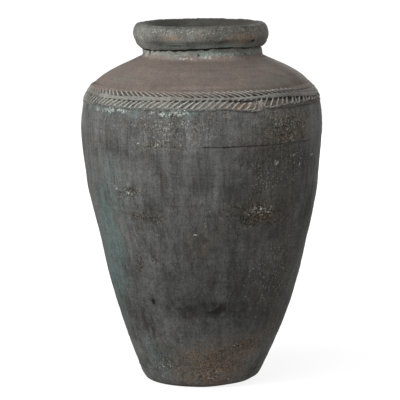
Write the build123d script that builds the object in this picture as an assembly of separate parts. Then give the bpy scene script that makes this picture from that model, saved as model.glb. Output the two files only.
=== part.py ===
from build123d import *
import os
from math import cos, pi, radians, sin

# A large storage jar of fired clay, raised from a floor slab in courses that are keyed and luted together.
# Sizes are in millimetres. The jar stands on the XY plane, its axis is Z and its front faces -Y.

# Outer face of the wall: its widest radius, and how far it draws in from that at the seams between courses
widest_radius = 334.8
widest_drop = 91.0  # of the widest turn below the shoulder's edge
edge_draw = 18.3  # at the shoulder's edge, under the pressed band
belly_seam_draw = 1.6
middle_seam_draw = 24.8
lower_seam_draw = 67.4
foot_seam_draw = 129.3
ground_draw = 177.8

# Heights of the courses, and the rounding of the foot
floor_thickness = 45.0
foot_rise = 75.0
upper_course_rise = 124.0
equal_courses = 3  # between the foot course and the upper belly course
edge_height = 811.0
heel_rounding = 24.0

# Wall, and the joints between the courses
wall_thickness = 32.0
lute_thickness = 2.5  # of the slip that beds each joint
lute_recess = 4.0  # of the slip behind the wall's faces
key_mouth = 14.0
key_floor = 8.0
key_depth = 9.0

# Pressed band: two strips with oblique strokes and a plain rib between them, in a shallow seat on the edge
lower_seat_lean = 24.6  # degrees from upright
upper_seat_rise = 51.0  # degrees from level
seat_depth = 3.0
lower_strip_width = 21.5
upper_strip_width = 22.0
strip_edge = 4.5  # thickness of a strip at its two edges
strip_crown = 8.0  # thickness of a strip along its middle
rib_width = 9.0
rib_crown = 7.0
stroke_pitch = 18.3
lower_stroke_angle = 40.0  # degrees from level
upper_stroke_angle = -30.0
lower_stroke_width = 8.0
upper_stroke_width = 6.0
stroke_depth = 4.0
splice_azimuth = 27.0  # degrees from the front, towards +X
splice_gap = 0.8

# Shoulder, neck and rolled rim
shoulder_rise = 95.0
shoulder_bulge = 6.4
shoulder_turn_reach = 43.0  # from the neck to where the dome ends and a straight flank climbs to the ledge
shoulder_turn_drop = 15.5  # of that turn below the ledge
ledge_depth = 20.0
ledge_flare = 6.0
neck_radius = 164.0
neck_thickness = 34.0
neck_fillet_reach = 12.0
neck_fillet_rise = 12.0
neck_fillet_hollow = 2.0
neck_show = 23.0  # height of the neck between the shoulder and the rim roll
roll_height = 71.0
roll_reach = 22.0
roll_widest_height = 45.0  # above the roll's lower lip
roll_cover = 30.0  # of clay over the collar's top edge
roll_lower_bulge = 4.0
roll_upper_bulge = 7.5
crest_reach = 6.0
funnel_bulge = 7.0
lip_crack_depth = 8.0

# Coil smeared into the corner between floor and wall, and its clearance to the curved wall
floor_fillet_leg = 26.0
floor_fillet_hollow = 4.0
coil_clearance = 0.3


def ring(*edges):
    """Solid turned about the jar's axis from a closed loop of edges, drawn as radius and height."""
    return revolve(Plane.XZ * make_face(edges), Axis.Z)


def upwards(inward):
    """Way up along a face, square to the way inwards through it."""
    return Vector(inward.Y, -inward.X)


class Seat:
    """Straight seat of a strip: a line that leaves the shoulder's edge, and the way out of the wall."""

    def __init__(self, origin, along, normal):
        self.origin, self.along, self.normal = origin, along, normal

    def at(self, distance, height=0.0):
        return self.origin + self.along * distance + self.normal * height


class Seam:
    """Keyed joint across the wall: its outer end, the ways inwards and up along the wall, and its width."""

    def __init__(self, outer, inward, up, width):
        self.outer, self.inward, self.up, self.width = outer, inward, up, width

    def at(self, across, above=0.0):
        return self.outer + self.inward * across + self.up * above

    def line(self, start, end, above=0.0):
        """Outline of the joint between two distances across the wall: level, down into the key, level."""
        middle = self.width / 2
        turns = [
            (start, 0.0),
            (middle - key_mouth / 2, 0.0),
            (middle - key_floor / 2, -key_depth),
            (middle + key_floor / 2, -key_depth),
            (middle + key_mouth / 2, 0.0),
            (end, 0.0),
        ]
        return [self.at(across, rise + above) for across, rise in turns]


# Shoulder's edge: the two seats of the band meet there, sunk into the wall by the seat's depth
lean = radians(lower_seat_lean)
rise = radians(upper_seat_rise)
lower_normal = Vector(cos(lean), sin(lean))
upper_normal = Vector(sin(rise), cos(rise))
edge_normal = (lower_normal + upper_normal).normalized()
mitre = edge_normal.dot(lower_normal)
bare_edge = Vector(widest_radius - edge_draw, edge_height)
edge_seam = Seam(
    bare_edge - edge_normal * (seat_depth / mitre),
    -edge_normal,
    upwards(-edge_normal),
    (wall_thickness - seat_depth) / mitre,
)
lower_seat = Seat(edge_seam.at(0), Vector(sin(lean), -cos(lean)), lower_normal)
upper_seat = Seat(edge_seam.at(0, lute_thickness), Vector(-cos(rise), sin(rise)), upper_normal)
rib_half = rib_width / 2
lower_seat_end = rib_half + lower_strip_width
upper_seat_end = rib_half + upper_strip_width

# Heights of the seams, and the stations that the wall's outer face passes through
foot_seam_height = floor_thickness + foot_rise
belly_seam_height = edge_height - upper_course_rise
course_rise = (belly_seam_height - foot_seam_height) / equal_courses
lower_seam_height = foot_seam_height + course_rise
middle_seam_height = lower_seam_height + course_rise
band_foot = lower_seat.at(lower_seat_end, seat_depth)
wall_stations = [
    (0.0, widest_radius - ground_draw),
    (foot_seam_height, widest_radius - foot_seam_draw),
    (lower_seam_height, widest_radius - lower_seam_draw),
    (middle_seam_height, widest_radius - middle_seam_draw),
    (belly_seam_height, widest_radius - belly_seam_draw),
    (edge_height - widest_drop, widest_radius),
    (band_foot.Y, band_foot.X),
]


def station_slopes():
    """Slope of the wall at each station: a mean of its two spans, the shorter one counting more."""
    spans = [h1 - h0 for (h0, _), (h1, _) in zip(wall_stations, wall_stations[1:])]
    leans = [(r1 - r0) / s for (_, r0), (_, r1), s in zip(wall_stations, wall_stations[1:], spans)]
    inner = [
        (after * lean0 + before * lean1) / (before + after)
        for before, after, lean0, lean1 in zip(spans, spans[1:], leans, leans[1:])
    ]
    return [2 * leans[0] - inner[0], *inner, 2 * leans[-1] - inner[-1]]


wall_slopes = station_slopes()


def wall_radius(height):
    """Radius of the wall's outer face: a cubic between stations, with the slopes above at its ends."""
    span = max(i for i in range(len(wall_stations) - 1) if i == 0 or wall_stations[i][0] <= height)
    (low, low_radius), (high, high_radius) = wall_stations[span : span + 2]
    length = high - low
    t = (height - low) / length
    return (
        (1 + 2 * t) * (1 - t) ** 2 * low_radius
        + t * (1 - t) ** 2 * length * wall_slopes[span]
        + t**2 * (3 - 2 * t) * high_radius
        + t**2 * (t - 1) * length * wall_slopes[span + 1]
    )


def wall_inward(height):
    """Unit vector through the wall at a height, square to its outer face, towards the inside."""
    step = 1.0
    slope = (wall_radius(height + step) - wall_radius(height - step)) / (2 * step)
    return Vector(-1, slope).normalized()


def wall_point(height, depth=0.0):
    """Point of the wall at a height of its outer face, and a depth below that face."""
    return Vector(wall_radius(height), height) + wall_inward(height) * depth


def wall_points(low, high, depth=0.0):
    """Points of one face of a course, between its seams."""
    shares = (0.25, 0.5, 0.75)
    return [wall_point(low + (high - low) * share, depth) for share in shares]


def wall_seam(height):
    """Joint square through the wall at a height."""
    inward = wall_inward(height)
    return Seam(wall_point(height), inward, upwards(inward), wall_thickness)


def lute_bed(seam):
    """Slip that beds one joint, kept behind both faces of the wall."""
    far = seam.width - lute_recess
    below = seam.line(lute_recess, far)
    above = seam.line(lute_recess, far, lute_thickness)
    return ring(Polyline(below + above[::-1], close=True))


# Joints, from the ground up
level_inward = Vector(-1, 0)
floor_wall_up = upwards(wall_inward(floor_thickness))
floor_seam = Seam(
    wall_point(floor_thickness),
    level_inward,
    floor_wall_up / floor_wall_up.Y,
    wall_thickness / floor_wall_up.Y,
)
foot_seam = wall_seam(foot_seam_height)
lower_seam = wall_seam(lower_seam_height)
middle_seam = wall_seam(middle_seam_height)
belly_seam = wall_seam(belly_seam_height)
shoulder_top = edge_height + shoulder_rise
neck_seam = Seam(
    Vector(neck_radius, shoulder_top),
    level_inward,
    upwards(level_inward),
    neck_thickness,
)
throat_radius = neck_radius - neck_thickness


def floor_slab():
    """Floor of the jar: a thick disc whose rim carries the foot course and whose lower edge is rounded."""
    rim = floor_seam.line(0, floor_seam.width)
    outline = [Vector(0, 0), Vector(wall_radius(0), 0), *rim, Vector(0, floor_thickness)]
    slab = ring(Polyline(outline, close=True))
    return fillet(slab.edges().group_by(Axis.Z)[0], heel_rounding)


def course(bottom, top):
    """Ring of wall between two seams, with a tongue below and a groove above."""
    tongue = bottom.line(0, bottom.width, lute_thickness)
    groove = top.line(0, top.width)
    low, high = tongue[0].Y, groove[0].Y
    return ring(
        Spline(tongue[0], *wall_points(low, high), groove[0]),
        Polyline(groove),
        Spline(groove[-1], *wall_points(low, high, wall_thickness)[::-1], tongue[-1]),
        Polyline(tongue),
    )


def upper_belly_course():
    """Top ring of the belly: it ends in the seat of the lower pressed strip and in the shoulder's edge."""
    tongue = belly_seam.line(0, belly_seam.width, lute_thickness)
    groove = edge_seam.line(0, edge_seam.width)
    low, high = tongue[0].Y, band_foot.Y
    return ring(
        Spline(tongue[0], *wall_points(low, high), band_foot),
        Polyline(band_foot, lower_seat.at(lower_seat_end), *groove),
        Spline(groove[-1], *wall_points(low, high, wall_thickness)[::-1], tongue[-1]),
        Polyline(tongue),
    )


def shoulder_course():
    """Domed shoulder: the upper strip's seat at its foot, and a level ledge for the neck at its top."""
    tongue = edge_seam.line(0, edge_seam.width, lute_thickness)
    band_head = upper_seat.at(upper_seat_end, seat_depth)
    ledge_start = Vector(neck_radius + neck_fillet_reach, shoulder_top)
    groove = neck_seam.line(0, neck_seam.width - lute_recess)
    throat = Vector(throat_radius + lute_recess + ledge_flare, shoulder_top - ledge_depth)
    turn = Vector(neck_radius + shoulder_turn_reach, shoulder_top - shoulder_turn_drop)
    chord = (turn - band_head).normalized()
    outward = Vector(chord.Y, -chord.X)
    crown_inside = (band_head + turn) / 2 + outward * (shoulder_bulge - wall_thickness)
    return ring(
        Polyline(tongue[0], upper_seat.at(upper_seat_end), band_head),
        SagittaArc(band_head, turn, -shoulder_bulge),
        Polyline(turn, ledge_start, *groove, throat),
        ThreePointArc(throat, crown_inside, tongue[-1]),
        Polyline(tongue),
    )


# Neck collar and the roll that is wrapped over its top
lip_height = shoulder_top + neck_show
crest_height = lip_height + roll_height
collar_top = crest_height - roll_cover
roll_bed_radius = neck_radius + lute_thickness
roll_bed_height = collar_top + lute_thickness


def neck_collar():
    """Short straight neck, with a tongue below and a square top under the rim roll."""
    tongue = neck_seam.line(0, neck_seam.width, lute_thickness)
    top = [Vector(throat_radius, collar_top), Vector(neck_radius, collar_top)]
    return ring(Polyline(tongue + top, close=True))


def rim_roll():
    """Thick coil wrapped round the collar's top and over it, rounded outside and funnelled inside."""
    lip = Vector(roll_bed_radius, lip_height)
    widest = Vector(neck_radius + roll_reach, lip_height + roll_widest_height)
    crest = Vector(neck_radius + crest_reach, crest_height)
    throat = Vector(throat_radius, roll_bed_height)
    return ring(
        SagittaArc(lip, widest, -roll_lower_bulge),
        SagittaArc(widest, crest, -roll_upper_bulge),
        SagittaArc(crest, throat, -funnel_bulge),
        Polyline(throat, Vector(roll_bed_radius, roll_bed_height), lip),
    )


def rim_lute():
    """Slip between the collar and the rim roll, open below as the dark crack under the roll."""
    outline = [
        Vector(neck_radius, lip_height + lip_crack_depth),
        Vector(roll_bed_radius, lip_height + lip_crack_depth),
        Vector(roll_bed_radius, roll_bed_height),
        Vector(throat_radius + lute_recess, roll_bed_height),
        Vector(throat_radius + lute_recess, collar_top),
        Vector(neck_radius, collar_top),
    ]
    return ring(Polyline(outline, close=True))


def neck_fillet_coil():
    """Small coil smeared into the corner between the neck and the shoulder's ledge."""
    corner = Vector(neck_radius, shoulder_top)
    foot = corner + Vector(neck_fillet_reach, 0)
    head = corner + Vector(0, neck_fillet_rise)
    return ring(Polyline(head, corner, foot), SagittaArc(foot, head, -neck_fillet_hollow))


def floor_fillet_coil():
    """Coil smeared into the inside corner between the floor and the foot course."""
    inside = floor_seam.at(floor_seam.width + coil_clearance)
    head = inside + floor_wall_up * floor_fillet_leg
    foot = inside - Vector(floor_fillet_leg, 0)
    return ring(Polyline(head, inside, foot), SagittaArc(foot, head, -floor_fillet_hollow))


def strip_ring(seat, width):
    """Flat strip of clay on its seat, thicker along its middle than at its edges."""
    start, end = rib_half, rib_half + width
    outer_edge, inner_edge = seat.at(end, strip_edge), seat.at(start, strip_edge)
    crown = seat.at((start + end) / 2, strip_crown)
    return ring(
        Polyline(inner_edge, seat.at(start), seat.at(end), outer_edge),
        ThreePointArc(outer_edge, crown, inner_edge),
    )


def pressed_strip(seat, width, stroke_width, angle):
    """Strip with oblique strokes pressed into it all round, and a slit where its two ends meet."""
    crown = seat.at(rib_half + width / 2, strip_crown)
    count = round(2 * pi * crown.X / stroke_pitch)
    normal = Vector(0, -seat.normal.X, seat.normal.Y)
    level = Vector(1, 0, 0)
    stroke = level * cos(radians(angle)) + normal.cross(level) * sin(radians(angle))
    length = 2 * width / abs(sin(radians(angle)))
    origin = Vector(0, -crown.X, crown.Y)
    section = Plane(origin, x_dir=normal.cross(stroke), z_dir=stroke)
    brim = [(-stroke_width, stroke_depth), (stroke_width, stroke_depth)]
    wedge = Polyline(*brim, (0, -stroke_depth), close=True)
    tool = extrude(section * make_face(wedge), length / 2, both=True)
    step = 360 / count
    tools = [tool.rotate(Axis.Z, splice_azimuth + step * (k + 0.5)) for k in range(count)]
    slit = section * Box(splice_gap, 4 * strip_crown, length)
    return strip_ring(seat, width) - [*tools, slit.rotate(Axis.Z, splice_azimuth)]


def band_rib():
    """Plain rib between the two strips, over the joint at the shoulder's edge."""
    low, high = lower_seat.at(rib_half, strip_edge), upper_seat.at(rib_half, strip_edge)
    base = [low, lower_seat.at(rib_half), edge_seam.at(0), upper_seat.at(0), upper_seat.at(rib_half), high]
    crown = edge_seam.at(-rib_crown, lute_thickness / 2)
    return ring(Polyline(base), ThreePointArc(high, crown, low))


pieces = {
    "floor_slab": floor_slab(),
    "foot_course": course(floor_seam, foot_seam),
    "lower_wall_course": course(foot_seam, lower_seam),
    "middle_wall_course": course(lower_seam, middle_seam),
    "belly_course": course(middle_seam, belly_seam),
    "upper_belly_course": upper_belly_course(),
    "shoulder_course": shoulder_course(),
    "neck_collar": neck_collar(),
    "rim_roll": rim_roll(),
    "floor_lute": lute_bed(floor_seam),
    "foot_lute": lute_bed(foot_seam),
    "lower_wall_lute": lute_bed(lower_seam),
    "middle_wall_lute": lute_bed(middle_seam),
    "belly_lute": lute_bed(belly_seam),
    "edge_lute": lute_bed(edge_seam),
    "neck_lute": lute_bed(neck_seam),
    "rim_lute": rim_lute(),
    "floor_fillet_coil": floor_fillet_coil(),
    "neck_fillet_coil": neck_fillet_coil(),
    "upper_pressed_strip": pressed_strip(
        upper_seat, upper_strip_width, upper_stroke_width, upper_stroke_angle
    ),
    "band_rib": band_rib(),
    "lower_pressed_strip": pressed_strip(
        lower_seat, lower_strip_width, lower_stroke_width, lower_stroke_angle
    ),
}

os.makedirs("parts", exist_ok=True)
for name, solid in pieces.items():
    export_step(solid, f"parts/{name}.step")
    print(name, "volume", round(solid.volume), "valid", solid.is_valid)
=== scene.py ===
# %% [markdown]
# # A hand-built storage jar in Blender
# A pithos is a clay jar as tall as a child. It isn't thrown on a wheel: the potter lays a floor slab and
# raises the wall on it in rings, one ring a day. In this lesson every ring, coil and strip of clay
# becomes one mesh. The exact CAD solids come first, as a frame in metres that every mesh has to fit.

# %% Load the frame
import bpy
import numpy as np
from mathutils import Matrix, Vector


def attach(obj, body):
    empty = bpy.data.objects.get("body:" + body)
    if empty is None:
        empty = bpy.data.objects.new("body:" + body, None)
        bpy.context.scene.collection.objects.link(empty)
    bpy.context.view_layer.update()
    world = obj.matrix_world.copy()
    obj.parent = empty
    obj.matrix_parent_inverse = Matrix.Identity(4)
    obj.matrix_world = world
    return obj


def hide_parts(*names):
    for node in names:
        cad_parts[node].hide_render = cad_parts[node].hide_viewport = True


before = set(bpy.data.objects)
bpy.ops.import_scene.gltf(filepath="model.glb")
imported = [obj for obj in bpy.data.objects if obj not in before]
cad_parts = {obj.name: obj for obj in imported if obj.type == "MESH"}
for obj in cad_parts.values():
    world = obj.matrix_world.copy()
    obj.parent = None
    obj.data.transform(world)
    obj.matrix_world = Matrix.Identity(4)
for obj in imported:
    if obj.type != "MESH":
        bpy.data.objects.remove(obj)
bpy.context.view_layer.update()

# %% [markdown]
# ## Smooth lines
# Hand-made outlines have no straight lines and no perfect arcs. A few stations, read from the
# photograph, and a cubic between each two of them give the same easy line that a potter's rib leaves. A
# Blender curve could do it too, but a function of numbers also serves for the jar's small lean and for
# all that changes slowly with height or with the turn.

# %% Curves, steps and hills
def curve(x, stations):
    """Value at x of a smooth line through (place, value) stations: a cubic between two stations, with
    slopes that are means of the neighbouring chords, the shorter chord counting more. Outside the
    stations it stays level."""
    at, value = np.array(stations, float).T
    x = np.clip(x, at[0], at[-1])
    span = np.diff(at)
    chord = np.diff(value) / span
    inner = (span[1:] * chord[:-1] + span[:-1] * chord[1:]) / (span[1:] + span[:-1])
    slope = np.concatenate([[2 * chord[0] - inner[0]], inner, [2 * chord[-1] - inner[-1]]])
    k = np.clip(np.searchsorted(at, x, side="right") - 1, 0, len(span) - 1)
    t = (x - at[k]) / span[k]
    rising = t * t * (3 - 2 * t)
    return (
        value[k] * (1 - rising)
        + value[k + 1] * rising
        + span[k] * t * (1 - t) * (slope[k] * (1 - t) - slope[k + 1] * t)
    )


def rise(x, low, high):
    """0 below low, 1 above high and a smooth step between them."""
    t = np.clip((x - low) / (high - low), 0, 1)
    return t * t * (3 - 2 * t)


def between(x, start, full, fading, gone):
    """1 from full to fading, 0 before start and after gone, with smooth steps: one rise times one fall."""
    return rise(x, start, full) * rise(gone - x, 0, gone - fading)


def hill(x, width):
    """Bell curve: 1 at zero, falling with the exponential of minus the square of x in widths."""
    return np.exp(-((x / width) ** 2))


print("a curve halfway between 0 and 1:", float(curve(0.5, [(0, 0), (1, 1), (2, 1)])))

# %% [markdown]
# ## Paths of a section
# The section of a clay ring has soft runs, where fingers and a scraper passed, and straight ones inside
# the joints. Both become rows of points. Their spacing is chosen for each run, so that the mesh is fine
# where relief shows and light where nobody looks.

# %% Smooth and straight paths
def smooth_path(points, count):
    """Points along a smooth path through the given (radius, height) points, evenly spaced by chord
    length."""
    points = np.array(points, float)
    run = np.concatenate([[0], np.cumsum(np.hypot(*np.diff(points, axis=0).T))])
    at = np.linspace(0, run[-1], count)
    return np.stack([curve(at, np.stack([run, points[:, k]], 1)) for k in (0, 1)], 1)


def straight_path(points, spacing):
    """Points along straight pieces between the given (radius, height) points, at most one spacing
    apart."""
    pieces = []
    for a, b in zip(points, points[1:]):
        steps = max(1, int(np.ceil(np.hypot(*np.subtract(b, a)) / spacing)))
        share = np.arange(steps)[:, None] / steps
        pieces.append(np.asarray(a) * (1 - share) + np.asarray(b) * share)
    return np.concatenate([*pieces, [points[-1]]])


print("points on a 10 mm path, 3 mm apart at most:", len(straight_path([(0, 0), (10, 0)], 3)))

# %% [markdown]
# ## Random clay
# Clay is uneven at every scale. A table of random numbers on a cubic lattice, blended smoothly between
# its points, gives a field that has a value everywhere in space. Because it lives in space and not on
# one piece, the unevenness runs on across the joints, as it does on the jar, where all rings were
# scraped together.

# %% A random field in space
random_numbers = np.random.default_rng(11)
LATTICE = 64
lattice = random_numbers.uniform(-1, 1, (LATTICE, LATTICE, LATTICE))


def noise(x, y, z):
    """Random field between -1 and 1 with bumps about one unit wide: the eight lattice numbers around a
    point, mixed by smooth shares of the way between them."""
    cell = [np.floor(c).astype(int) for c in (x, y, z)]
    share = [c - np.floor(c) for c in (x, y, z)]
    share = [t * t * t * (t * (6 * t - 15) + 10) for t in share]
    low = [c % LATTICE for c in cell]
    high = [(c + 1) % LATTICE for c in cell]

    def line(j, k):
        """Mix of two lattice numbers along x."""
        return lattice[low[0], j, k] * (1 - share[0]) + lattice[high[0], j, k] * share[0]

    def sheet(k):
        """Mix of two such lines along y."""
        return line(low[1], k) * (1 - share[1]) + line(high[1], k) * share[1]

    return sheet(low[2]) * (1 - share[2]) + sheet(high[2]) * share[2]


print("noise sample", noise(np.array([0.5, 1.2]), np.array([3.1, 0.4]), np.array([7.7, 2.2])).round(3))

# %% [markdown]
# ## Joints between the rings
# Sizes are in millimetres from here on, and turn into metres when a mesh is made. Where two rings meet,
# the lower one has a groove and the upper one a tongue, with a thin bed of slip, the lute, between them.
# One small class holds such a joint and gives its zigzag line, so that groove, tongue and slip always
# fit.

# %% A keyed joint
WALL, LUTE = 32.0, 2.5
KEY_MOUTH, KEY_FLOOR, KEY_DEPTH = 14.0, 8.0, 9.0


def upwards(inward):
    """Way up along a face: the way inwards through it, turned a quarter."""
    return np.array([inward[1], -inward[0]])


class Seam:
    """Keyed joint across the wall: its outer end, the ways inwards and up along the wall, and its
    width."""

    def __init__(self, outer, inward, up, width):
        self.outer, self.inward, self.up = np.asarray(outer), np.asarray(inward), np.asarray(up)
        self.width = width

    def at(self, across, above=0.0):
        """Point at a distance across the wall and a height above the joint."""
        return self.outer + self.inward * across + self.up * above

    def line(self, start, end, above=0.0):
        """Corners of the joint between two distances across the wall: level, down into the key, level."""
        turns = [
            (start, 0.0),
            (self.width / 2 - KEY_MOUTH / 2, 0.0),
            (self.width / 2 - KEY_FLOOR / 2, -KEY_DEPTH),
            (self.width / 2 + KEY_FLOOR / 2, -KEY_DEPTH),
            (self.width / 2 + KEY_MOUTH / 2, 0.0),
            (end, 0.0),
        ]
        return [self.at(across, deep + above) for across, deep in turns]


SHOULDER_TOP, NECK, THROAT = 906.0, 164.0, 130.0
neck_seam = Seam([NECK, SHOULDER_TOP], [-1.0, 0.0], [0.0, 1.0], NECK - THROAT)
neck_line = neck_seam.line(0, neck_seam.width)
print("the neck's joint has", len(neck_line), "corners over", neck_seam.width, "mm")

# %% [markdown]
# ## Seats of the pressed band
# The shoulder's edge carries two flat strips with a rib between them. They lie on two straight bevels,
# one on each side of the edge, and the joint of the shoulder runs inwards halfway between them. The two
# leans were read from the photograph, where the band bends over the edge.

# %% Bevels on both sides of the shoulder's edge
SEAT_DEPTH, RIB_HALF = 3.0, 4.5
LOWER_STRIP, UPPER_STRIP = 21.5, 22.0
LOWER_SEAT_LEAN, UPPER_SEAT_LEAN = 24.6, 39.0
bare_edge = np.array([316.5, 811.0])


def direction(degrees):
    """Unit vector (radius, height) at an angle above the way outwards."""
    return np.array([np.cos(np.radians(degrees)), np.sin(np.radians(degrees))])


lower_out, upper_out = direction(LOWER_SEAT_LEAN), direction(UPPER_SEAT_LEAN)
edge_out = direction((LOWER_SEAT_LEAN + UPPER_SEAT_LEAN) / 2)
mitre = edge_out @ lower_out
edge_start = bare_edge - edge_out * SEAT_DEPTH / mitre
edge_seam = Seam(edge_start, -edge_out, upwards(-edge_out), (WALL - SEAT_DEPTH) / mitre)
lower_along, upper_along = -upwards(-lower_out), upwards(-upper_out)


def lower_seat(distance, height=0.0):
    """Point at a distance down the lower bevel from the edge, and a height above the bevel."""
    return edge_seam.at(0) + lower_along * distance + lower_out * height


def upper_seat(distance, height=0.0):
    """Point at a distance up the upper bevel from the edge, and a height above the bevel."""
    return edge_seam.at(0, LUTE) + upper_along * distance + upper_out * height


band_foot = lower_seat(RIB_HALF + LOWER_STRIP, SEAT_DEPTH)
band_head = upper_seat(RIB_HALF + UPPER_STRIP, SEAT_DEPTH)
print("band from", band_foot.round(1), "to", band_head.round(1))

# %% [markdown]
# ## The outline and the courses
# The outer face is a radius at each height, read row by row from the photograph's outline. The wall is
# as thick as the CAD says, so the inner face is the outer one moved inwards. Four joints cut the wall
# into rings, and a fifth lies under them on the floor slab.

# %% Outline of the wall, and the joints across it
OUTLINE = [
    (0, 157.0), (60, 181.0), (120, 205.4), (180, 228.3), (240, 247.8), (309, 267.2), (360, 279.0),
    (400, 287.2), (450, 299.3), (498, 309.8), (540, 318.7), (600, 325.5), (660, 331.3), (720, 334.8),
    (band_foot[1], band_foot[0]),
]
FLOOR, FOOT_TOP, LOWER_TOP, MIDDLE_TOP, BELLY_TOP = 45.0, 120.0, 309.0, 498.0, 687.0


def wall_point(height, depth=0.0):
    """Point of the wall at a height of its outer face, moved inwards square to that face by a depth."""
    height = np.asarray(height, float)
    radius = curve(height, OUTLINE)
    top = band_foot[1]
    slope = curve(np.clip(height + 1, 0, top), OUTLINE) - curve(np.clip(height - 1, 0, top), OUTLINE)
    lean = np.arctan(slope / 2)
    return np.stack([radius - depth * np.cos(lean), height + depth * np.sin(lean)], -1)


def wall_seam(height):
    """Joint square through the wall at a height."""
    inward = wall_point(height, 1.0) - wall_point(height)
    return Seam(wall_point(height), inward, upwards(inward), WALL)


floor_up = upwards(wall_point(FLOOR, 1.0) - wall_point(FLOOR))
floor_seam = Seam(wall_point(FLOOR), [-1.0, 0.0], floor_up / floor_up[1], WALL / floor_up[1])
foot_seam, lower_seam = wall_seam(FOOT_TOP), wall_seam(LOWER_TOP)
middle_seam, belly_seam = wall_seam(MIDDLE_TOP), wall_seam(BELLY_TOP)
print("joints start at", [seam.outer.round(1).tolist() for seam in (floor_seam, foot_seam, belly_seam)])

# %% [markdown]
# ## The jar's own crookedness
# No pithos is quite round or quite upright. The centre line wanders a few millimetres as each course
# goes on, the mouth sits a little to the left, the shoulder's edge climbs slightly to the right, and the
# rings are faintly oval. A lattice modifier could bend the finished jar, but one function bends the
# points of all pieces before they become meshes, so that they keep touching.

# %% Warp shared by all pieces
WANDER_X = [
    (0, -4.5), (75, -1.0), (190, 3.0), (265, 3.2), (430, 3.2), (600, -2.0), (740, -1.6), (850, -1.2),
    (900, 0.0), (960, -3.6), (1000, -3.4),
]
WANDER_Y = [(0, 0.0), (250, 1.8), (520, -1.5), (800, 1.2), (1000, 0.5)]
TILT = [(0, 0.0), (420, 0.0), (800, 0.0085), (1000, 0.0065)]
OVAL, THREE_CORNERED = 1.1, 0.7


def warp(turn, radius, height):
    """Place in metres of a point given by its turn (radians from the front, towards the right), radius
    and height: the radius gets oval and three-cornered waves, the axis wanders with height, and the top
    tilts to the right."""
    waves = OVAL * np.sin(2 * turn) + THREE_CORNERED * np.sin(3 * turn + 0.4) * np.cos(height / 150)
    radius = radius + radius / 320 * waves
    x = radius * np.sin(turn)
    y = -radius * np.cos(turn)
    z = height + curve(height, TILT) * x
    return np.stack([x + curve(height, WANDER_X), y + curve(height, WANDER_Y), z], -1) / 1000


print("front of the belly at", warp(np.array(0.0), np.array(334.8), np.array(720.0)).round(4))

# %% [markdown]
# ## Where a point lies
# Relief and stains depend on where a point is on the jar. A small class keeps the turn, radius and
# height of all points of a piece as whole arrays, and answers the questions that the later cells ask:
# what the random field is there, how near a mark is, and how near a scratched line is.

# %% Places on the jar
OUTER, INNER, JOINT = 1, -1, 0


class Place:
    """Where the points of a piece are: turn in radians, degrees from the front, radius and height in
    millimetres, the same point as x and y, and whether it is on the outer face, the inner face or in a
    joint."""

    def __init__(self, turn, radius, height, face):
        self.turn, self.radius, self.height, self.face = np.broadcast_arrays(turn, radius, height, face)
        self.degrees = (np.degrees(self.turn) + 180) % 360 - 180
        self.x, self.y = self.radius * np.sin(self.turn), -self.radius * np.cos(self.turn)

    def away(self, degrees):
        """Degrees from a given turn to each point, the short way round."""
        return (self.degrees - degrees + 180) % 360 - 180

    def noise(self, size, tall=None, seed=0):
        """Random field with bumps of a size, and of another height where tall is given."""
        level = self.height / (tall or size) + 5.7 * seed
        return noise(self.x / size + 17.3 * seed, self.y / size - 9.1 * seed, level)

    def marks(self, places, fray=0.35, size=16):
        """Strongest of the marks at each point: full in the middle of an ellipse, gone at its edge,
        frayed by noise."""
        ragged = fray * (self.noise(size, seed=3) + 0.6 * self.noise(size / 3, seed=4))
        total = np.zeros(self.turn.shape)
        for degrees, height, wide, tall, strength in places:
            around = np.radians(self.away(degrees)) * self.radius
            out = np.hypot(around / wide, (self.height - height) / tall)
            total = np.maximum(total, strength * np.clip(1.5 * (1 - out) + ragged, 0, 1) * (out < 1.6))
        return total

    def lines(self, strokes):
        """Strongest of some thin lines at each point: a hill across the way between two places, broken
        by noise."""
        total = np.zeros(self.turn.shape)
        wobble = 2.2 * self.noise(26, seed=19)
        broken = np.clip(0.75 + 0.9 * self.noise(14, seed=20), 0, 1)
        for (degrees, height), (to_degrees, to_height), width, strength in strokes:
            around = np.radians(self.away(degrees)) * self.radius + wobble
            up = self.height - height + wobble
            run = np.radians(to_degrees - degrees) * self.radius
            climb = to_height - height
            share = np.clip((around * run + up * climb) / (run * run + climb * climb), 0, 1)
            off = np.hypot(around - share * run, up - share * climb)
            total = np.maximum(total, strength * broken * hill(off, width))
        return total


sample = Place(np.radians([0.0, 25.0, -33.2]), 330.0, np.array([600.0, 688.0, 251.0]), OUTER)
print("three sample places, in degrees from the front:", sample.degrees.round(1))

# %% [markdown]
# ## Marks of age that also shape the clay
# Each kind of mark is a short list of places on the jar, found in the photograph: degrees from the
# front towards the right, height, half width along the wall and half height in millimetres, and how
# strong it is. Marks of the back are guesses. A painted picture would fit one view only, while such
# marks work all round the jar. The first three kinds change the surface too: rough clay, crusts of lime
# and pale scratches.

# %% Rough places, lime and scratches
# Clay left rough by the scraper or bared again by weather.
ROUGH = [
    (-40, 558, 75, 26, 1.0), (-31, 492, 75, 24, 1.0), (30, 500, 120, 46, 1.0), (-20, 696, 90, 22, 0.7),
    (40, 650, 130, 70, 0.6), (46, 735, 130, 60, 0.8), (36, 126, 80, 18, 0.8), (50, 330, 90, 150, 0.6),
    (14, 70, 140, 60, 0.7), (-36, 70, 60, 50, 0.6), (-8, 745, 160, 50, 0.5), (-60, 200, 40, 80, 0.5),
    (-25, 506, 30, 18, 0.55), (14.5, 503, 28, 22, 0.9), (-38, 495, 40, 14, 1.2),
    (-36, 565, 40, 16, 1.2), (-38.5, 362, 16, 50, 0.9), (-28, 376, 12, 16, 1.0),
    (-150, 500, 120, 60, 0.9), (150, 690, 140, 40, 0.8), (110, 300, 110, 90, 0.7),
    (-110, 200, 90, 60, 0.7),
]
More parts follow.
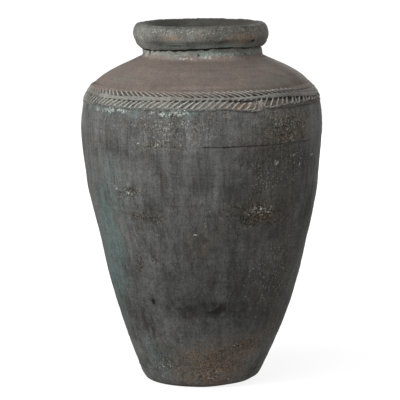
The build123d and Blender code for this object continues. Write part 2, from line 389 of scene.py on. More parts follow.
# White lime that dried out of the clay.
LIME = [
    (-18, 738, 170, 62, 0.7), (42, 735, 130, 60, 0.7), (-48, 781, 110, 12, 1.1),
    (-16, 779, 120, 12, 1.1), (20, 784, 60, 9, 0.8), (-30.5, 696, 14, 6, 1.3), (-21, 695, 16, 6, 1.2),
    (-37, 554, 45, 14, 0.9), (-45, 565, 30, 8, 0.9), (52, 640, 60, 60, 0.7), (33, 600, 90, 60, 0.65),
    (65.5, 646, 18, 8, 1.4), (37.5, 638, 16, 10, 1.1), (46.5, 700, 22, 10, 1.0), (57, 538, 7, 16, 1.0),
    (50, 582, 9, 13, 0.9), (26.5, 755, 20, 14, 1.0), (54, 630, 10, 16, 1.0), (36, 574, 12, 14, 1.0),
    (30, 512, 70, 20, 0.9), (40, 330, 90, 120, 0.55), (-34, 60, 50, 36, 0.75), (14, 40, 60, 26, 0.75),
    (-150, 760, 160, 40, 0.7), (120, 740, 150, 60, 0.7), (180, 560, 120, 60, 0.4),
    (-28, 986, 140, 14, 0.55), (45, 982, 90, 18, 0.55), (14, 984, 80, 15, 0.55),
    (-66, 978, 40, 22, 0.6), (-62, 966, 10, 8, 0.9), (-20, 913, 46, 6, 1.2), (6, 916, 30, 8, 1.2),
    (28, 914, 24, 6, 1.0), (-68, 918, 16, 12, 1.2), (20, 925, 50, 6, 0.9), (44, 922, 34, 8, 0.8),
]
# Pale scratches: a place, another place, half width and strength.
PALE_LINES = [
    ((0, 131), (34, 124), 2.2, 0.8), ((20, 116), (46, 132), 2.0, 0.7),
    ((0.8, 505), (0.8, 420), 2.4, 1.0), ((-0.2, 512), (3.7, 516), 2.6, 1.0),
    ((11, 537), (17, 532), 2.2, 1.0), ((-26, 443), (-23.5, 445), 2.4, 1.1),
    ((-5, 449), (-3, 451), 2.6, 1.2), ((33, 575), (38, 470), 2.4, 0.7),
    ((22, 512), (34, 526), 2.6, 0.8), ((62, 330), (57, 260), 2.4, 0.7),
    ((40, 760), (47, 690), 2.2, 0.5), ((24, 786), (30, 756), 2.2, 0.6),
    ((-140, 650), (-110, 640), 2.4, 0.7), ((150, 300), (160, 380), 2.4, 0.7),
    ((31.8, 650), (33, 553), 2.2, 0.65),
]
print("placed by hand:", len(ROUGH), "rough places,", len(LIME), "of lime,", len(PALE_LINES), "scratches")

# %% [markdown]
# ## Stains
# The other marks only colour the clay. A jar that stood outdoors for long takes a blue-green bloom on
# its damp side, rust from iron in the clay, soot from the kiln and from dirt, and brown earth near the
# ground. A few marks in the soot list are painted shade instead, along the lip's crack and the rim's tool
# lines. The lists have the same five numbers for each place as before.

# %% Lists of stains
# Blue-green bloom.
VERDIGRIS = [
    (-60, 430, 70, 200, 1.0), (-67, 310, 55, 160, 1.2), (-50, 560, 70, 100, 0.5),
    (-45, 782, 120, 20, 0.7), (-10, 782, 80, 14, 0.5), (-40, 90, 60, 60, 0.5),
    (-130, 380, 120, 200, 0.5), (140, 420, 80, 160, 0.4), (2, 924, 30, 12, 0.35),
    (-25, 917, 30, 10, 0.4), (-66, 921, 18, 12, 0.5), (35, 922, 34, 12, 0.3), (-20, 945, 110, 11, 0.45),
    (26, 946, 110, 9, 0.75), (20, 926, 60, 10, 0.5), (48, 922, 40, 10, 0.4), (46, 856, 60, 16, 0.3),
    (-50, 858, 60, 16, 0.22), (8, 870, 60, 12, 0.15),
]
# Reddish iron stains.
RUST = [
    (-24, 969, 40, 9, 0.75), (-63, 966, 7, 14, 0.8), (44, 974, 44, 16, 0.8), (22, 966, 26, 10, 0.7),
    (5, 972, 26, 10, 0.4), (-4, 827, 62, 10, 0.75), (20, 796, 44, 16, 1.1), (44, 706, 70, 28, 0.7),
    (28, 682, 80, 9, 0.6), (30, 494, 66, 22, 0.9), (-0.5, 412, 12, 30, 0.7), (2, 450, 12, 20, 0.5),
    (36, 545, 40, 50, 0.4), (10, 120, 60, 9, 0.6), (10, 72, 150, 90, 0.72), (36, 105, 80, 70, 0.72),
    (8, 6, 90, 7, 0.8), (-26, 6, 50, 7, 0.7), (-5, 846, 60, 16, 0.35), (-170, 430, 30, 60, 0.6),
    (150, 972, 60, 12, 0.6), (-120, 700, 60, 20, 0.5),
]
# Dark dirt and kiln smoke. The small marks just under the lip on the left widen the crack's painted
# shade, and the thin line at 948 mm is painted shade for the rim's tool lines.
SOOT_AND_SHADE_MARKS = [
    (-3, 235, 115, 30, 0.85), (8, 231, 50, 22, 1.3), (-8, 236, 60, 14, 1.0), (21, 489, 24, 14, 0.75),
    (-31, 486, 46, 10, 0.25), (-38, 556, 50, 8, 0.35), (20, 961, 24, 6, 0.6), (50, 957, 10, 4, 1.2),
    (-24, 948, 40, 3, 0.6), (-27, 520, 20, 30, 0.3), (16, 560, 24, 110, 0.3), (-44, 185, 14, 60, 0.75),
    (-38, 160, 9, 40, 0.6), (-70, 927, 9, 6, 1.2), (-60, 924, 6, 8, 1.2), (-53, 928, 10, 4, 1.0),
    (33, 921, 5, 5, 1.0), (39, 923, 7, 4, 1.0), (46, 920, 6, 5, 1.0), (56, 922, 6, 5, 0.9),
    (-3, 922, 5, 5, 0.9), (-45, 953, 40, 8, 0.3), (-5, 957, 40, 6, 0.25), (62, 962, 26, 18, 0.3),
    (-86, 836, 26, 14, 0.9), (-120, 260, 70, 30, 0.7), (100, 540, 60, 30, 0.6),
]
# Broad stains of brown earth.
BROWN = [
    (45, 735, 160, 95, 1.0), (40, 640, 140, 150, 0.6), (33, 515, 130, 90, 0.9), (10, 74, 170, 105, 1.3),
    (30, 130, 120, 70, 0.9), (48, 300, 130, 250, 0.6), (0, 430, 70, 70, 0.4),
    (-160, 120, 160, 110, 0.9), (150, 620, 150, 160, 0.6), (-120, 640, 110, 90, 0.4),
    (22, 790, 50, 30, 0.7), (44, 970, 70, 30, 1.1), (-24, 968, 60, 14, 0.5),
]
print("stains placed by hand:", sum(map(len, (VERDIGRIS, RUST, SOOT_AND_SHADE_MARKS, BROWN))))

# %% [markdown]
# ## Relief of the scraped wall
# A scraper drawn down the wall leaves long shallow facets and streaks, and grit that it drags along
# leaves pits. A sculpting brush could do this, but not twice alike, so all of it is a height above the
# smooth outline, added up from wide to fine. Where a seam has opened, the edges of the clay beside it
# sink in.

# %% Heights above the smooth outline
# Stretches of each seam that have opened: from and to, in degrees, and how far.
OPEN_SEAMS = {
    BELLY_TOP: [(9, 31, 0.5), (31, 62, 0.32), (0, 9, 0.25), (-30, -10, 0.1), (110, 150, 0.6)],
    MIDDLE_TOP: [(16, 26, 0.25), (150, 200, 0.4)],
    LOWER_TOP: [(-160, -130, 0.4)],
    FOOT_TOP: [(30, 40, 0.2), (-110, -80, 0.4)],
    FLOOR: [(120, 160, 0.3)],
}
HOLE_TURN, HOLE_HEIGHT, HOLE_WIDE, HOLE_TALL, HOLE_DEEP = -33.2, 251, 5.2, 7.8, 1.9
CRUST_BELOW_BAND = [mark for mark in LIME if 770 < mark[1] < 790]


def seam_opening(place):
    """How far the clay near a point has opened: a hill across a seam, inside a listed stretch of it,
    broken by noise. The one hole low on the left is a deeper hill of its own."""
    around = np.radians(place.degrees - HOLE_TURN) * place.radius / HOLE_WIDE
    total = HOLE_DEEP * hill(np.hypot(around, (place.height - HOLE_HEIGHT) / HOLE_TALL), 1.0)
    waver = 2.0 * place.noise(30, 400, seed=23)
    broken = np.clip(0.6 + 0.9 * place.noise(18, 400, seed=8), 0.05, 1)
    for height, stretches in OPEN_SEAMS.items():
        near = hill(place.height - height - LUTE / 2 - waver, 2.4)
        for start, end, strength in stretches:
            middle, half = (start + end) / 2, (end - start) / 2
            along = rise(half + 3 - np.abs(place.away(middle)), 0, 6) * broken
            total = np.maximum(total, strength * near * along)
    return total


def scraped_wall(place):
    """Height of the wall's relief in millimetres: wide hand-built waves, level waves of the courses,
    upright scraper streaks, grain, pits in the rough places, lumps of crust along the band's foot and
    the opened seams."""
    rough = place.marks(ROUGH, fray=0.6, size=22)
    height = 1.1 * place.noise(180, 140) + 0.45 * place.noise(240, 36, seed=1)
    height += 0.38 * place.noise(15, 170, seed=2) + 0.24 * place.noise(7, 90, seed=5)
    height += (0.26 + 0.6 * rough) * place.noise(10, seed=6) + (0.18 + 0.6 * rough) * place.noise(5, seed=7)
    height -= (0.5 + 3.4 * rough) * np.clip(place.noise(6.5, seed=9) - 0.45, 0, 1)
    crust = place.marks(CRUST_BELOW_BAND, fray=0.9, size=9)
    height += 1.6 * crust * np.clip(place.noise(9, seed=10) + 0.3, 0, 1)
    return height - place.lines(PALE_LINES) - 2.6 * seam_opening(place)


print("relief on plain wall, in the open seam and in the hole:", scraped_wall(sample).round(2))

# %% [markdown]
# ## Marks on a piece
# Each kind of mark becomes an attribute, one number at each point of the mesh, and the finish mixes its
# colours by these numbers. Besides the marks there is one number for how pale the clay is: the belly is
# darker than the shoulder, and listed patches are darker or paler. Part of that number is painted light
# and shade: it lifts the collar and the rim's lower part in the roll's shadow, and darkens the right
# edges of the wall and the shoulder and the band's far left.

# %% Marks as attributes
# How pale the fired clay is at a height, where 1 is the finish's own tone: darker over the belly and
# the foot. Above 904 mm it is painted light, lifting the collar in the roll's shadow and the rim's
# lower part.
PALENESS_AND_PAINTED_LIGHT = [
    (0, 0.9), (50, 0.95), (120, 0.78), (220, 0.6), (320, 0.66), (450, 0.7), (600, 0.74), (680, 0.8),
    (700, 0.9), (750, 1.0), (838, 1.07), (868, 1.09), (888, 1.02), (898, 0.94), (904, 1.0), (910, 1.5),
    (926, 1.8), (936, 1.25), (970, 1.2), (990, 1.0), (1000, 1.0),
]
# Places that are darker than the rest, or paler where the last number is below zero. Part of them is
# painted light and shade: paler on the collar and the rim's lower part in the roll's shadow, darker on
# the right edges of the wall and the shoulder and at the band's far left.
PAINTED_LIGHT_SHADE_AND_PATCHES = [
    (5, 300, 170, 75, 0.24), (25, 205, 90, 50, 0.2), (-33, 98, 70, 40, 0.18), (-30, 691, 95, 26, -0.3),
    (67, 480, 70, 110, 0.32), (18, 944, 110, 15, -0.65), (14, 921, 90, 10, -0.4),
    (-74, 812, 90, 28, 0.58), (-72, 765, 70, 28, 0.2), (25, 970, 70, 40, -0.15),
    (-45, 965, 70, 34, 0.2), (60, 55, 60, 50, 0.4), (70, 880, 50, 30, 0.25), (66, 850, 60, 25, 0.22),
    (-40, 60, 90, 60, 0.2), (5, 190, 80, 34, 0.25), (30, 920, 60, 14, -0.2), (42, 814, 140, 32, 0.2),
    (-46, 520, 100, 170, -0.07), (-48, 450, 170, 340, -0.05), (0, 846, 70, 16, -0.05),
    (-48, 745, 110, 50, -0.06), (36, 862, 80, 40, 0.09), (48, 400, 70, 60, -0.15),
    (0, 240, 150, 60, 0.15),
]


def stained(place, radius, height):
    """Marks of one piece as attributes: each is full on the outer face and missing inside and in the
    joints. Soot also lies in the opened seams, painted shade darkens the foot where it meets the floor,
    the tone holds painted light and shade besides the clay's paleness, and the inside has one dim tone."""
    shown = (place.face == OUTER).astype(float)
    inside = place.face == INNER
    at = Place(place.turn, radius, height, place.face)
    lime = np.maximum(at.marks(LIME, fray=0.7, size=14), 1.15 * at.lines(PALE_LINES))
    soot = np.maximum(at.marks(SOOT_AND_SHADE_MARKS, fray=0.7, size=14), 1.4 * seam_opening(at))
    # Painted shade: the lowest 13 mm of the foot are darkened like a contact shadow on the floor.
    soot = np.maximum(soot, 1.1 * rise(13 - at.height, 0, 12)) * shown
    darker = sum(at.marks([(*mark[:4], 1.0)], fray=0.4, size=40) * mark[4] for mark in PAINTED_LIGHT_SHADE_AND_PATCHES)
    outside = curve(at.height, PALENESS_AND_PAINTED_LIGHT) * (1 + 0.08 * at.noise(110, seed=18)) * (1 - darker)
    return {
        "lime": lime * shown,
        "verdigris": at.marks(VERDIGRIS, fray=0.5, size=30) * shown,
        "rust": at.marks(RUST, fray=0.7, size=14) * shown,
        "soot": np.where(inside, 0.3, soot),
        "brown": at.marks(BROWN, fray=0.4, size=40) * shown,
        "rough": at.marks(ROUGH, fray=0.6, size=22) * shown,
        "tone": np.where(inside, 0.8, outside),
    }


def at_least(attributes, name, value):
    """Raises one attribute of a piece to a value where it is below it."""
    attributes[name] = np.maximum(attributes[name], value)


sample_marks = stained(sample, sample.radius, sample.height)
print("soot at the sample places:", sample_marks["soot"].round(2), "of", len(sample_marks), "attributes")

# %% [markdown]
# ## From a section to a ring
# Every piece of the jar is a closed section carried round the axis. Blender's Screw modifier could turn
# a section, but every column here gets its own relief. The section goes up the outer face, in across the
# top joint, down the inner face and out across the bottom joint, so all faces point outwards. The relief
# moves the points of the faces square to the section, and points inside the joints stay where they are.

# %% Sections
def section(*runs):
    """Closed section from runs of (points, face), each starting where the one before it ends. A
    corner between a face and a joint belongs to the face. Gives the points, their faces, their
    outward normals (the run's direction, turned a quarter) and whether the step from each point to
    the next is smooth."""
    points, face, normals, smooth = [], [], [], []
    for k, (run, kind) in enumerate(runs):
        run = np.asarray(run, float)
        along = np.gradient(run, axis=0)
        along /= np.maximum(np.hypot(*along.T), 1e-9)[:, None]
        after_face = kind == JOINT and runs[k - 1][1] != JOINT
        before_joint = kind != JOINT and runs[(k + 1) % len(runs)][1] == JOINT
        own = slice(1 if after_face else 0, None if before_joint else -1)
        points.append(run[own])
        normals.append(np.stack([along[:, 1], -along[:, 0]], 1)[own])
        face.append(np.full(len(points[-1]), kind))
        steps = np.full(len(points[-1]), kind != JOINT)
        if before_joint:
            steps[-1] = False
        smooth.append(steps)
    return tuple(np.concatenate(part) for part in (points, face, normals, smooth))


square = section(([(2, 0), (2, 1)], OUTER), ([(2, 1), (1, 1), (1, 0), (2, 0)], JOINT))
print("square section:", len(square[0]), "points, outer normal", square[2][0])

# %% [markdown]
# ## From arrays to a mesh
# Blender takes points, corners and faces as flat arrays, which is far quicker than adding faces one by
# one. Faces are rows of four points, and a triangle has -1 for its fourth. Each finished piece rides on
# the jar's one rigid body and takes the place of the CAD node with its name.

# %% Mesh of a piece
def corner_counts(faces):
    """Corners of each face: three where the fourth is -1, and otherwise four."""
    return np.where(faces[:, 3] < 0, 3, 4)


def put_in_mesh(name, points, faces, smooth, attributes):
    """Mesh object from arrays: points in metres, faces, which faces are smooth, and a number at each
    point for each attribute. The faces inside the joints are flat, so that the edges of a piece stay
    crisp."""
    mesh = bpy.data.meshes.new(name)
    corners = corner_counts(faces)
    mesh.vertices.add(len(points))
    mesh.vertices.foreach_set("co", points.astype(np.float32).ravel())
    mesh.loops.add(int(corners.sum()))
    mesh.loops.foreach_set("vertex_index", faces[faces >= 0].astype(np.int32))
    mesh.polygons.add(len(faces))
    mesh.polygons.foreach_set("loop_start", (np.cumsum(corners) - corners).astype(np.int32))
    mesh.update(calc_edges=True)
    mesh.polygons.foreach_set("use_smooth", smooth)
    for key, values in attributes.items():
        attribute = mesh.attributes.new(key, "FLOAT", "POINT")
        attribute.data.foreach_set("value", values.astype(np.float32).ravel())
    mesh.validate()
    piece = bpy.data.objects.new(name, mesh)
    bpy.context.scene.collection.objects.link(piece)
    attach(piece, "root")
    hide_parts(name)
    low, high = points[:, 2].min(), points[:, 2].max()
    print(f"{name}: {(corners - 2).sum()} triangles, height {low:.3f} to {high:.3f}")
    return piece


print("corners of a square and a triangle:", corner_counts(np.array([[0, 1, 2, 3], [2, 1, 4, -1]])))

# %% [markdown]
# ## Carrying the section round
# The points of a ring are a grid: rows go along the section and columns round the jar. A full ring joins
# its last column to its first. A strip that ends somewhere is open, and each of its ends gets a cap, a
# fan of triangles around one point in the middle.

# %% Rings and open strips
COLUMNS = 900
detail = 1.0


def close_ends(where, faces, attributes, grid):
    """Caps for an open strip: one new point in the middle of each end, joined to the end's points by
    triangles."""
    first, last = grid[:, 0], grid[:, -1]
    middle = np.stack([where[first].mean(0), where[last].mean(0)])
    size = len(where)
    none = np.full(len(first), -1)
    front = np.stack([first, np.roll(first, -1), np.full(len(first), size), none], 1)
    back = np.stack([np.roll(last, -1), last, np.full(len(last), size + 1), none], 1)
    attributes = {k: np.append(v.ravel(), [v[:, 0].mean(), v[:, -1].mean()]) for k, v in attributes.items()}
    return np.concatenate([where, middle]), np.concatenate([faces, front, back]), attributes


def carry_round(name, shape, columns, relief=None, inside=None, move=None, ends=None, stains=None):
    """Ring of clay: the section (rows) at each turn (columns), with relief on its outer face and inside
    relief on its inner face along the section's normals, a free move of (radius, height), the shared
    warp, and stains of its own. With ends, the ring is an open strip between two turns in degrees,
    closed by a cap at each end."""
    points, face, normals, steps = shape
    columns = max(24, int(columns * detail))
    turn = np.linspace(0, 2 * np.pi, columns, endpoint=False)
    if ends:
        turn = np.radians(np.linspace(*ends, columns))
    place = Place(turn[None, :], points[:, :1], points[:, 1:], face[:, None])
    height = np.zeros(place.turn.shape)
    for side, form in ((OUTER, relief), (INNER, inside)):
        if form:
            height += np.where(place.face == side, form(place), 0)
    radius = place.radius + height * normals[:, :1]
    level = place.height + height * normals[:, 1:]
    if move:
        radius, level = move(place, radius, level)
    attributes = stained(place, radius, level)
    if stains:
        stains(place, attributes)
    grid = np.arange(place.turn.size).reshape(place.turn.shape)
    up = np.roll(grid, -1, 0)
    cells = np.stack([grid, np.roll(grid, -1, 1), np.roll(up, -1, 1), up], -1)
    if ends:
        cells = cells[:, :-1]
    faces = cells.reshape(-1, 4)
    smooth = np.repeat(steps, cells.shape[1])
    where = warp(place.turn, radius, level).reshape(-1, 3)
    if ends:
        where, faces, attributes = close_ends(where, faces, attributes, grid)
        smooth = np.append(smooth, np.zeros(len(faces) - len(smooth), bool))
    return put_in_mesh(name, where, faces, smooth, attributes)


print(COLUMNS, "columns make facets of", round(2 * np.pi * 334.8 / COLUMNS, 2), "mm on the widest ring")

# %% [markdown]
# ## The wall courses
# Five rings make the wall, from the foot to the band. Each is one section between two joints: rows lie
# closer together near the seams, where the relief changes fastest. The upper belly ring ends in the
# straight seat of the lower pressed strip. Inside, fingers pressed the coils together and left level
# ridges.

# %% Wall rings
JOINT_STEP, SEAT_STEP, INNER_ROWS, FOOT_COLUMNS = 7, 8, 12, 720


def finger_ridges(place):
    """Relief of the inner face in millimetres: a sine wave a finger wide over the height, shifted by
    noise."""
    return 0.9 * np.sin(place.height / 4.6 + 1.5 * place.noise(120)) + 0.5 * place.noise(30, seed=2)


def toward_ends(low, high, count):
    """Heights from low to high, closer together near both ends: even steps less a sine wave."""
    u = np.linspace(0, 1, count)
    return low + (high - low) * (u - 0.6 * np.sin(2 * np.pi * u) / (2 * np.pi))


def wall_section(bottom, top, rows, wall_top=None):
    """Section of a wall ring: outer face, groove above, inner face and tongue below. Where the wall ends
    below its upper joint, at the band, the strip's seat comes between the outer face and the groove."""
    tongue = bottom.line(0, bottom.width, LUTE)
    groove = top.line(0, top.width)
    upper_end = groove[0] if wall_top is None else wall_top
    outer = wall_point(toward_ends(tongue[0][1], upper_end[1], rows))
    inner = wall_point(np.linspace(upper_end[1], tongue[0][1], INNER_ROWS), WALL)
    outer[0], outer[-1], inner[0], inner[-1] = tongue[0], upper_end, groove[-1], tongue[-1]
    runs = [(outer, OUTER)]
    if wall_top is not None:
        seat = [wall_top, lower_seat(RIB_HALF + LOWER_STRIP), groove[0]]
        runs.append((straight_path(seat, SEAT_STEP), JOINT))
    runs.append((straight_path(groove, JOINT_STEP), JOINT))
    runs.append((inner, INNER))
    runs.append((straight_path(tongue[::-1], JOINT_STEP), JOINT))
    return section(*runs)


rings = {
    "foot_course": (wall_section(floor_seam, foot_seam, rows=36), FOOT_COLUMNS),
    "lower_wall_course": (wall_section(foot_seam, lower_seam, rows=62), COLUMNS),
    "middle_wall_course": (wall_section(lower_seam, middle_seam, rows=62), COLUMNS),
    "belly_course": (wall_section(middle_seam, belly_seam, rows=62), COLUMNS),
    "upper_belly_course": (wall_section(belly_seam, edge_seam, rows=44, wall_top=band_foot), COLUMNS),
}
courses = [carry_round(name, *ring, scraped_wall, finger_ridges) for name, ring in rings.items()]

# %% [markdown]
# ## Slip in the joints
# The slip that bonds two rings is squeezed out and wiped flush, so a good joint can't be seen. Where a
# seam has opened, the slip has fallen out to some depth. Each bed is a thin ring with the joint's own
# zigzag section, and its outer edge sinks in with the seam's opening. Inside the jar the slip stops
# short of the wall.

# %% Beds of slip
RECESS, SLIP_STEP = 4.0, 9
SLIP_COLUMNS, HIDDEN_COLUMNS = 600, 240


def lute_section(seam):
    """Section of a bed of slip: its flush outer edge, its top, its inner edge and its underside."""
    below = seam.line(0, seam.width - RECESS)
    above = seam.line(0, seam.width - RECESS, LUTE)
    return section(
        ([below[0], (below[0] + above[0]) / 2, above[0]], OUTER),
        (straight_path(above, SLIP_STEP), JOINT),
        ([above[-1], below[-1]], JOINT),
        (straight_path(below[::-1], SLIP_STEP), JOINT),
    )


def sunken_slip(place):
    """The wall's relief, sunk further where the seam has opened."""
    return scraped_wall(place) - 3.5 * seam_opening(place)


beds = {
    "floor_lute": floor_seam,
    "foot_lute": foot_seam,
    "lower_wall_lute": lower_seam,
    "middle_wall_lute": middle_seam,
    "belly_lute": belly_seam,
}
hidden_beds = {"edge_lute": edge_seam, "neck_lute": neck_seam}
lutes = [carry_round(name, lute_section(seam), SLIP_COLUMNS, sunken_slip) for name, seam in beds.items()]
lutes += [carry_round(name, lute_section(seam), HIDDEN_COLUMNS) for name, seam in hidden_beds.items()]

# %% [markdown]
# ## Floor slab
# The slab is a disc, so its section starts and ends on the axis. One point at each pole closes it with a
# fan of triangles. Its heel is rounded, and the underside stays flat because the jar stands on it.

# %% Floor slab
HEEL, POLE, FLOOR_ROWS = 132, 6, 12


def floor_section():
    """Open section of the slab from near the axis below, round the heel and over the grooved rim to the
    axis above, with the face of each point."""
    rim = floor_seam.line(0, floor_seam.width)
    heel = smooth_path([(HEEL, 0), (145, 2.6), (155.5, 9), (163.5, 20), (170.0, 33), rim[0]], 24)
    below = np.stack([np.linspace(POLE, HEEL, FLOOR_ROWS), np.zeros(FLOOR_ROWS)], 1)
    above = np.stack([np.linspace(rim[-1][0], POLE, FLOOR_ROWS), np.full(FLOOR_ROWS, FLOOR)], 1)
    points = np.concatenate([below[:-1], heel[:-1], straight_path(rim, JOINT_STEP)[:-1], above])
    face = np.full(len(points), JOINT)
    face[len(below) - 1 : len(below) + len(heel) - 2] = OUTER
    return points, face


def heel_relief(place):
    """The wall's relief, fading out where the heel meets the ground, and a worn hollow on the right of
    the front."""
    worn = between(place.degrees, 2, 40, 70, 120) * hill(place.height - 6, 9)
    return scraped_wall(place) * rise(place.height, 1, 14) - 5.0 * worn


def turned_disc(name, points, face, columns, relief):
    """Solid disc: the open section carried round the axis, with one point on the axis below and one
    above."""
    columns = int(columns * detail)
    turn = np.linspace(0, 2 * np.pi, columns, endpoint=False)
    place = Place(turn[None, :], points[:, :1], points[:, 1:], face[:, None])
    along = np.gradient(points, axis=0)
    along /= np.hypot(*along.T)[:, None]
    height = np.where(place.face == OUTER, relief(place), 0)
    radius, level = place.radius + height * along[:, 1:], place.height - height * along[:, :1]
    grid = np.arange(place.turn.size).reshape(place.turn.shape)
    ahead = np.roll(grid, -1, 1)
    sides = np.stack([grid[:-1], ahead[:-1], ahead[1:], grid[1:]], -1).reshape(-1, 4)
    none, low, high = (np.full(columns, n) for n in (-1, grid.size, grid.size + 1))
    under = np.stack([ahead[0], grid[0], low, none], 1)
    over = np.stack([grid[-1], ahead[-1], high, none], 1)
    poles = warp(np.zeros(2), np.zeros(2), points[[0, -1], 1])
    where = np.concatenate([warp(place.turn, radius, level).reshape(-1, 3), poles])
    marks = {key: np.append(mask.ravel(), [0, 0]) for key, mask in stained(place, radius, level).items()}
    smooth = np.append(np.repeat(face[:-1] == OUTER, columns), np.zeros(2 * columns, bool))
    return put_in_mesh(name, where, np.concatenate([sides, under, over]), smooth, marks)


courses.append(turned_disc("floor_slab", *floor_section(), FOOT_COLUMNS, heel_relief))

# %% [markdown]
# ## Coil in the floor's corner
# A coil is smeared into the corner between floor and wall, where a jar would crack first. It is a ring
# with two straight sides against the clay and one hollow face. It can be seen only through the mouth, so
# it is coarse.

# %% Floor coil
COIL_REACH = 26
corner = floor_seam.at(floor_seam.width + 0.3)
coil_toe, coil_head = corner - [COIL_REACH, 0], corner + floor_up * COIL_REACH
hollow_face = smooth_path([coil_toe, corner + [-4, 7], coil_head], 9)[::-1]
floor_coil = section((straight_path([coil_toe, corner, coil_head], SEAT_STEP), JOINT), (hollow_face, INNER))
coils = [carry_round("floor_fillet_coil", floor_coil, HIDDEN_COLUMNS)]

# %% [markdown]
# ## Shoulder
# The shoulder is a dome that starts on the band's upper bevel and ends in a ledge for the neck. It was
# wiped with wet hands, so it is the smoothest part of the jar. The dome's stations follow the
# photographed outline.

# %% Shoulder
LEDGE, DOME_ROWS = 176, 62
DOME = [
    band_head, (294, 840), (283, 850), (269.4, 860), (252.6, 870), (232.9, 880), (210.6, 890), (188.4, 900),
    (LEDGE, SHOULDER_TOP),
]


def smoothed_shoulder(place):
    """Relief of the shoulder in millimetres: wide waves, level wipe marks, a little grain and few pits."""
    return (
        0.8 * place.noise(150, 90)
        + 0.25 * place.noise(190, 7, seed=1)
        + 0.14 * place.noise(9, seed=6)
        - 0.8 * np.clip(place.noise(6, seed=9) - 0.62, 0, 1)
    )


def shoulder_section():
    """Section of the dome: seat of the upper strip, outer face, ledge with its groove, inner face and
    tongue."""
    tongue = edge_seam.line(0, edge_seam.width, LUTE)
    groove = neck_seam.line(0, neck_seam.width - RECESS)
    seat = [tongue[0], upper_seat(RIB_HALF + UPPER_STRIP), band_head]
    throat = np.array([THROAT + 10, SHOULDER_TOP - 20])
    inner = smooth_path([throat, (188, 869.5), (225, 850), (252.5, 830), tongue[-1]], 20)
    return section(
        (straight_path(seat, SEAT_STEP), JOINT),
        (smooth_path(DOME, DOME_ROWS), OUTER),
        (straight_path([DOME[-1], *groove], SEAT_STEP), JOINT),
        (straight_path([groove[-1], throat], SEAT_STEP), INNER),
        (inner, INNER),
        (straight_path(tongue[::-1], JOINT_STEP), JOINT),
    )


shoulder = carry_round("shoulder_course", shoulder_section(), COLUMNS, smoothed_shoulder, finger_ridges)

# %% [markdown]
# ## Neck collar
# A short collar stands on the shoulder's ledge, and the rim hides most of it. Below the rim its clay is
# torn and crusted. The rim's lower lip was never quite closed against it, which leaves the dark crack
# that the eye finds first, lower on the left and a little higher on the right. Painted shade darkens
# the collar along that crack, where the lip's shadow falls.

# %% Neck collar
COLLAR_TOP, LIP, NECK_HIDDEN, NECK_COLUMNS = 970.0, 929.0, 952.0, 800
FACE_STEP, THROAT_STEP, HIDDEN_STEP = 1.5, 5, 12
LIP_CLIMB = [
    (-180, 2.0), (-120, 3.0), (-90, 5.0), (-62, 2.5), (-31, 6.0), (0, 9.5), (21, 12.5), (44, 10.0),
    (80, 6.0), (130, 3.0), (180, 2.0),
]


def crusted_neck(place):
    """Relief of the neck in millimetres: torn clay and crust, rougher than anything else on the jar, and
    a bulge on the right."""
    bulge = between(place.degrees, 40, 80, 110, 150) * between(place.height, 908, 919, 929, 934)
    return (
        3.5 * bulge
        + 0.8 * place.noise(30, 14)
        + 0.8 * place.noise(8, seed=1)
        + 0.45 * place.noise(4.5, seed=6)
        - 2.2 * np.clip(place.noise(7, seed=9) - 0.35, 0, 1)
    )


def lip_climb(place):
    """How far the rim's lip stands above its lowest place: a slow climb to the right of the front, and
    two sizes of waves round the jar."""
    waves = 1.0 * place.noise(40, 4000, seed=12) + 0.7 * place.noise(13, 4000, seed=13)
    return curve(place.degrees, LIP_CLIMB) + waves


def collar_section():
    """Section of the collar: outer face with its top under the roll, throat and tongue."""
    tongue = neck_seam.line(0, neck_seam.width, LUTE)
    hidden = [(NECK, NECK_HIDDEN), (NECK, COLLAR_TOP), (THROAT, COLLAR_TOP)]
    return section(
        (straight_path([tongue[0], hidden[0]], FACE_STEP), OUTER),
        (straight_path(hidden, HIDDEN_STEP), JOINT),
        (straight_path([hidden[-1], tongue[-1]], THROAT_STEP), INNER),
        (straight_path(tongue[::-1], JOINT_STEP), JOINT),
    )


def shadowed_crack(place, attributes):
    """Painted shade in the crack: darkness within a few millimetres below the lip, where its shadow
    falls, thinner on the right of the front."""
    below = LIP + 0.9 * lip_climb(place) - place.height
    right = between(place.degrees, 8, 24, 90, 150)
    deep = (5.0 - 2.4 * right) * np.clip(0.8 + 0.7 * place.noise(15, 4000, seed=27), 0.1, 1.2)
    at_least(attributes, "soot", 1.5 * rise(deep - below, 0, 1.6))


neck = carry_round("neck_collar", collar_section(), NECK_COLUMNS, crusted_neck, finger_ridges,
                   stains=shadowed_crack)

# %% [markdown]
# ## Coil round the neck's foot
# The corner between neck and shoulder is filled with a thin coil, smeared both ways. It is as crusted as
# the neck above it, so the same relief serves.

# %% Neck coil
FILLET_TOP = 918
smeared_face = smooth_path([(LEDGE, SHOULDER_TOP), (170.3, 909), (166.8, 912.8), (NECK, FILLET_TOP)], 14)
neck_corner = [(NECK, FILLET_TOP), (NECK, SHOULDER_TOP), (LEDGE, SHOULDER_TOP)]
neck_coil = section((smeared_face, OUTER), (straight_path(neck_corner, 6), JOINT))
coils.append(carry_round("neck_fillet_coil", neck_coil, NECK_COLUMNS, crusted_neck))

# %% [markdown]
# ## Rim roll
# A thick coil is wrapped over the collar's top. Its section runs from the crack round the lip, over the
# crest and down a short funnel into the throat. Thumbs left lumps in it, and a tool left two level lines
# low on the outside. A torus would be too regular: the lip sags and climbs, and it swells on both sides.

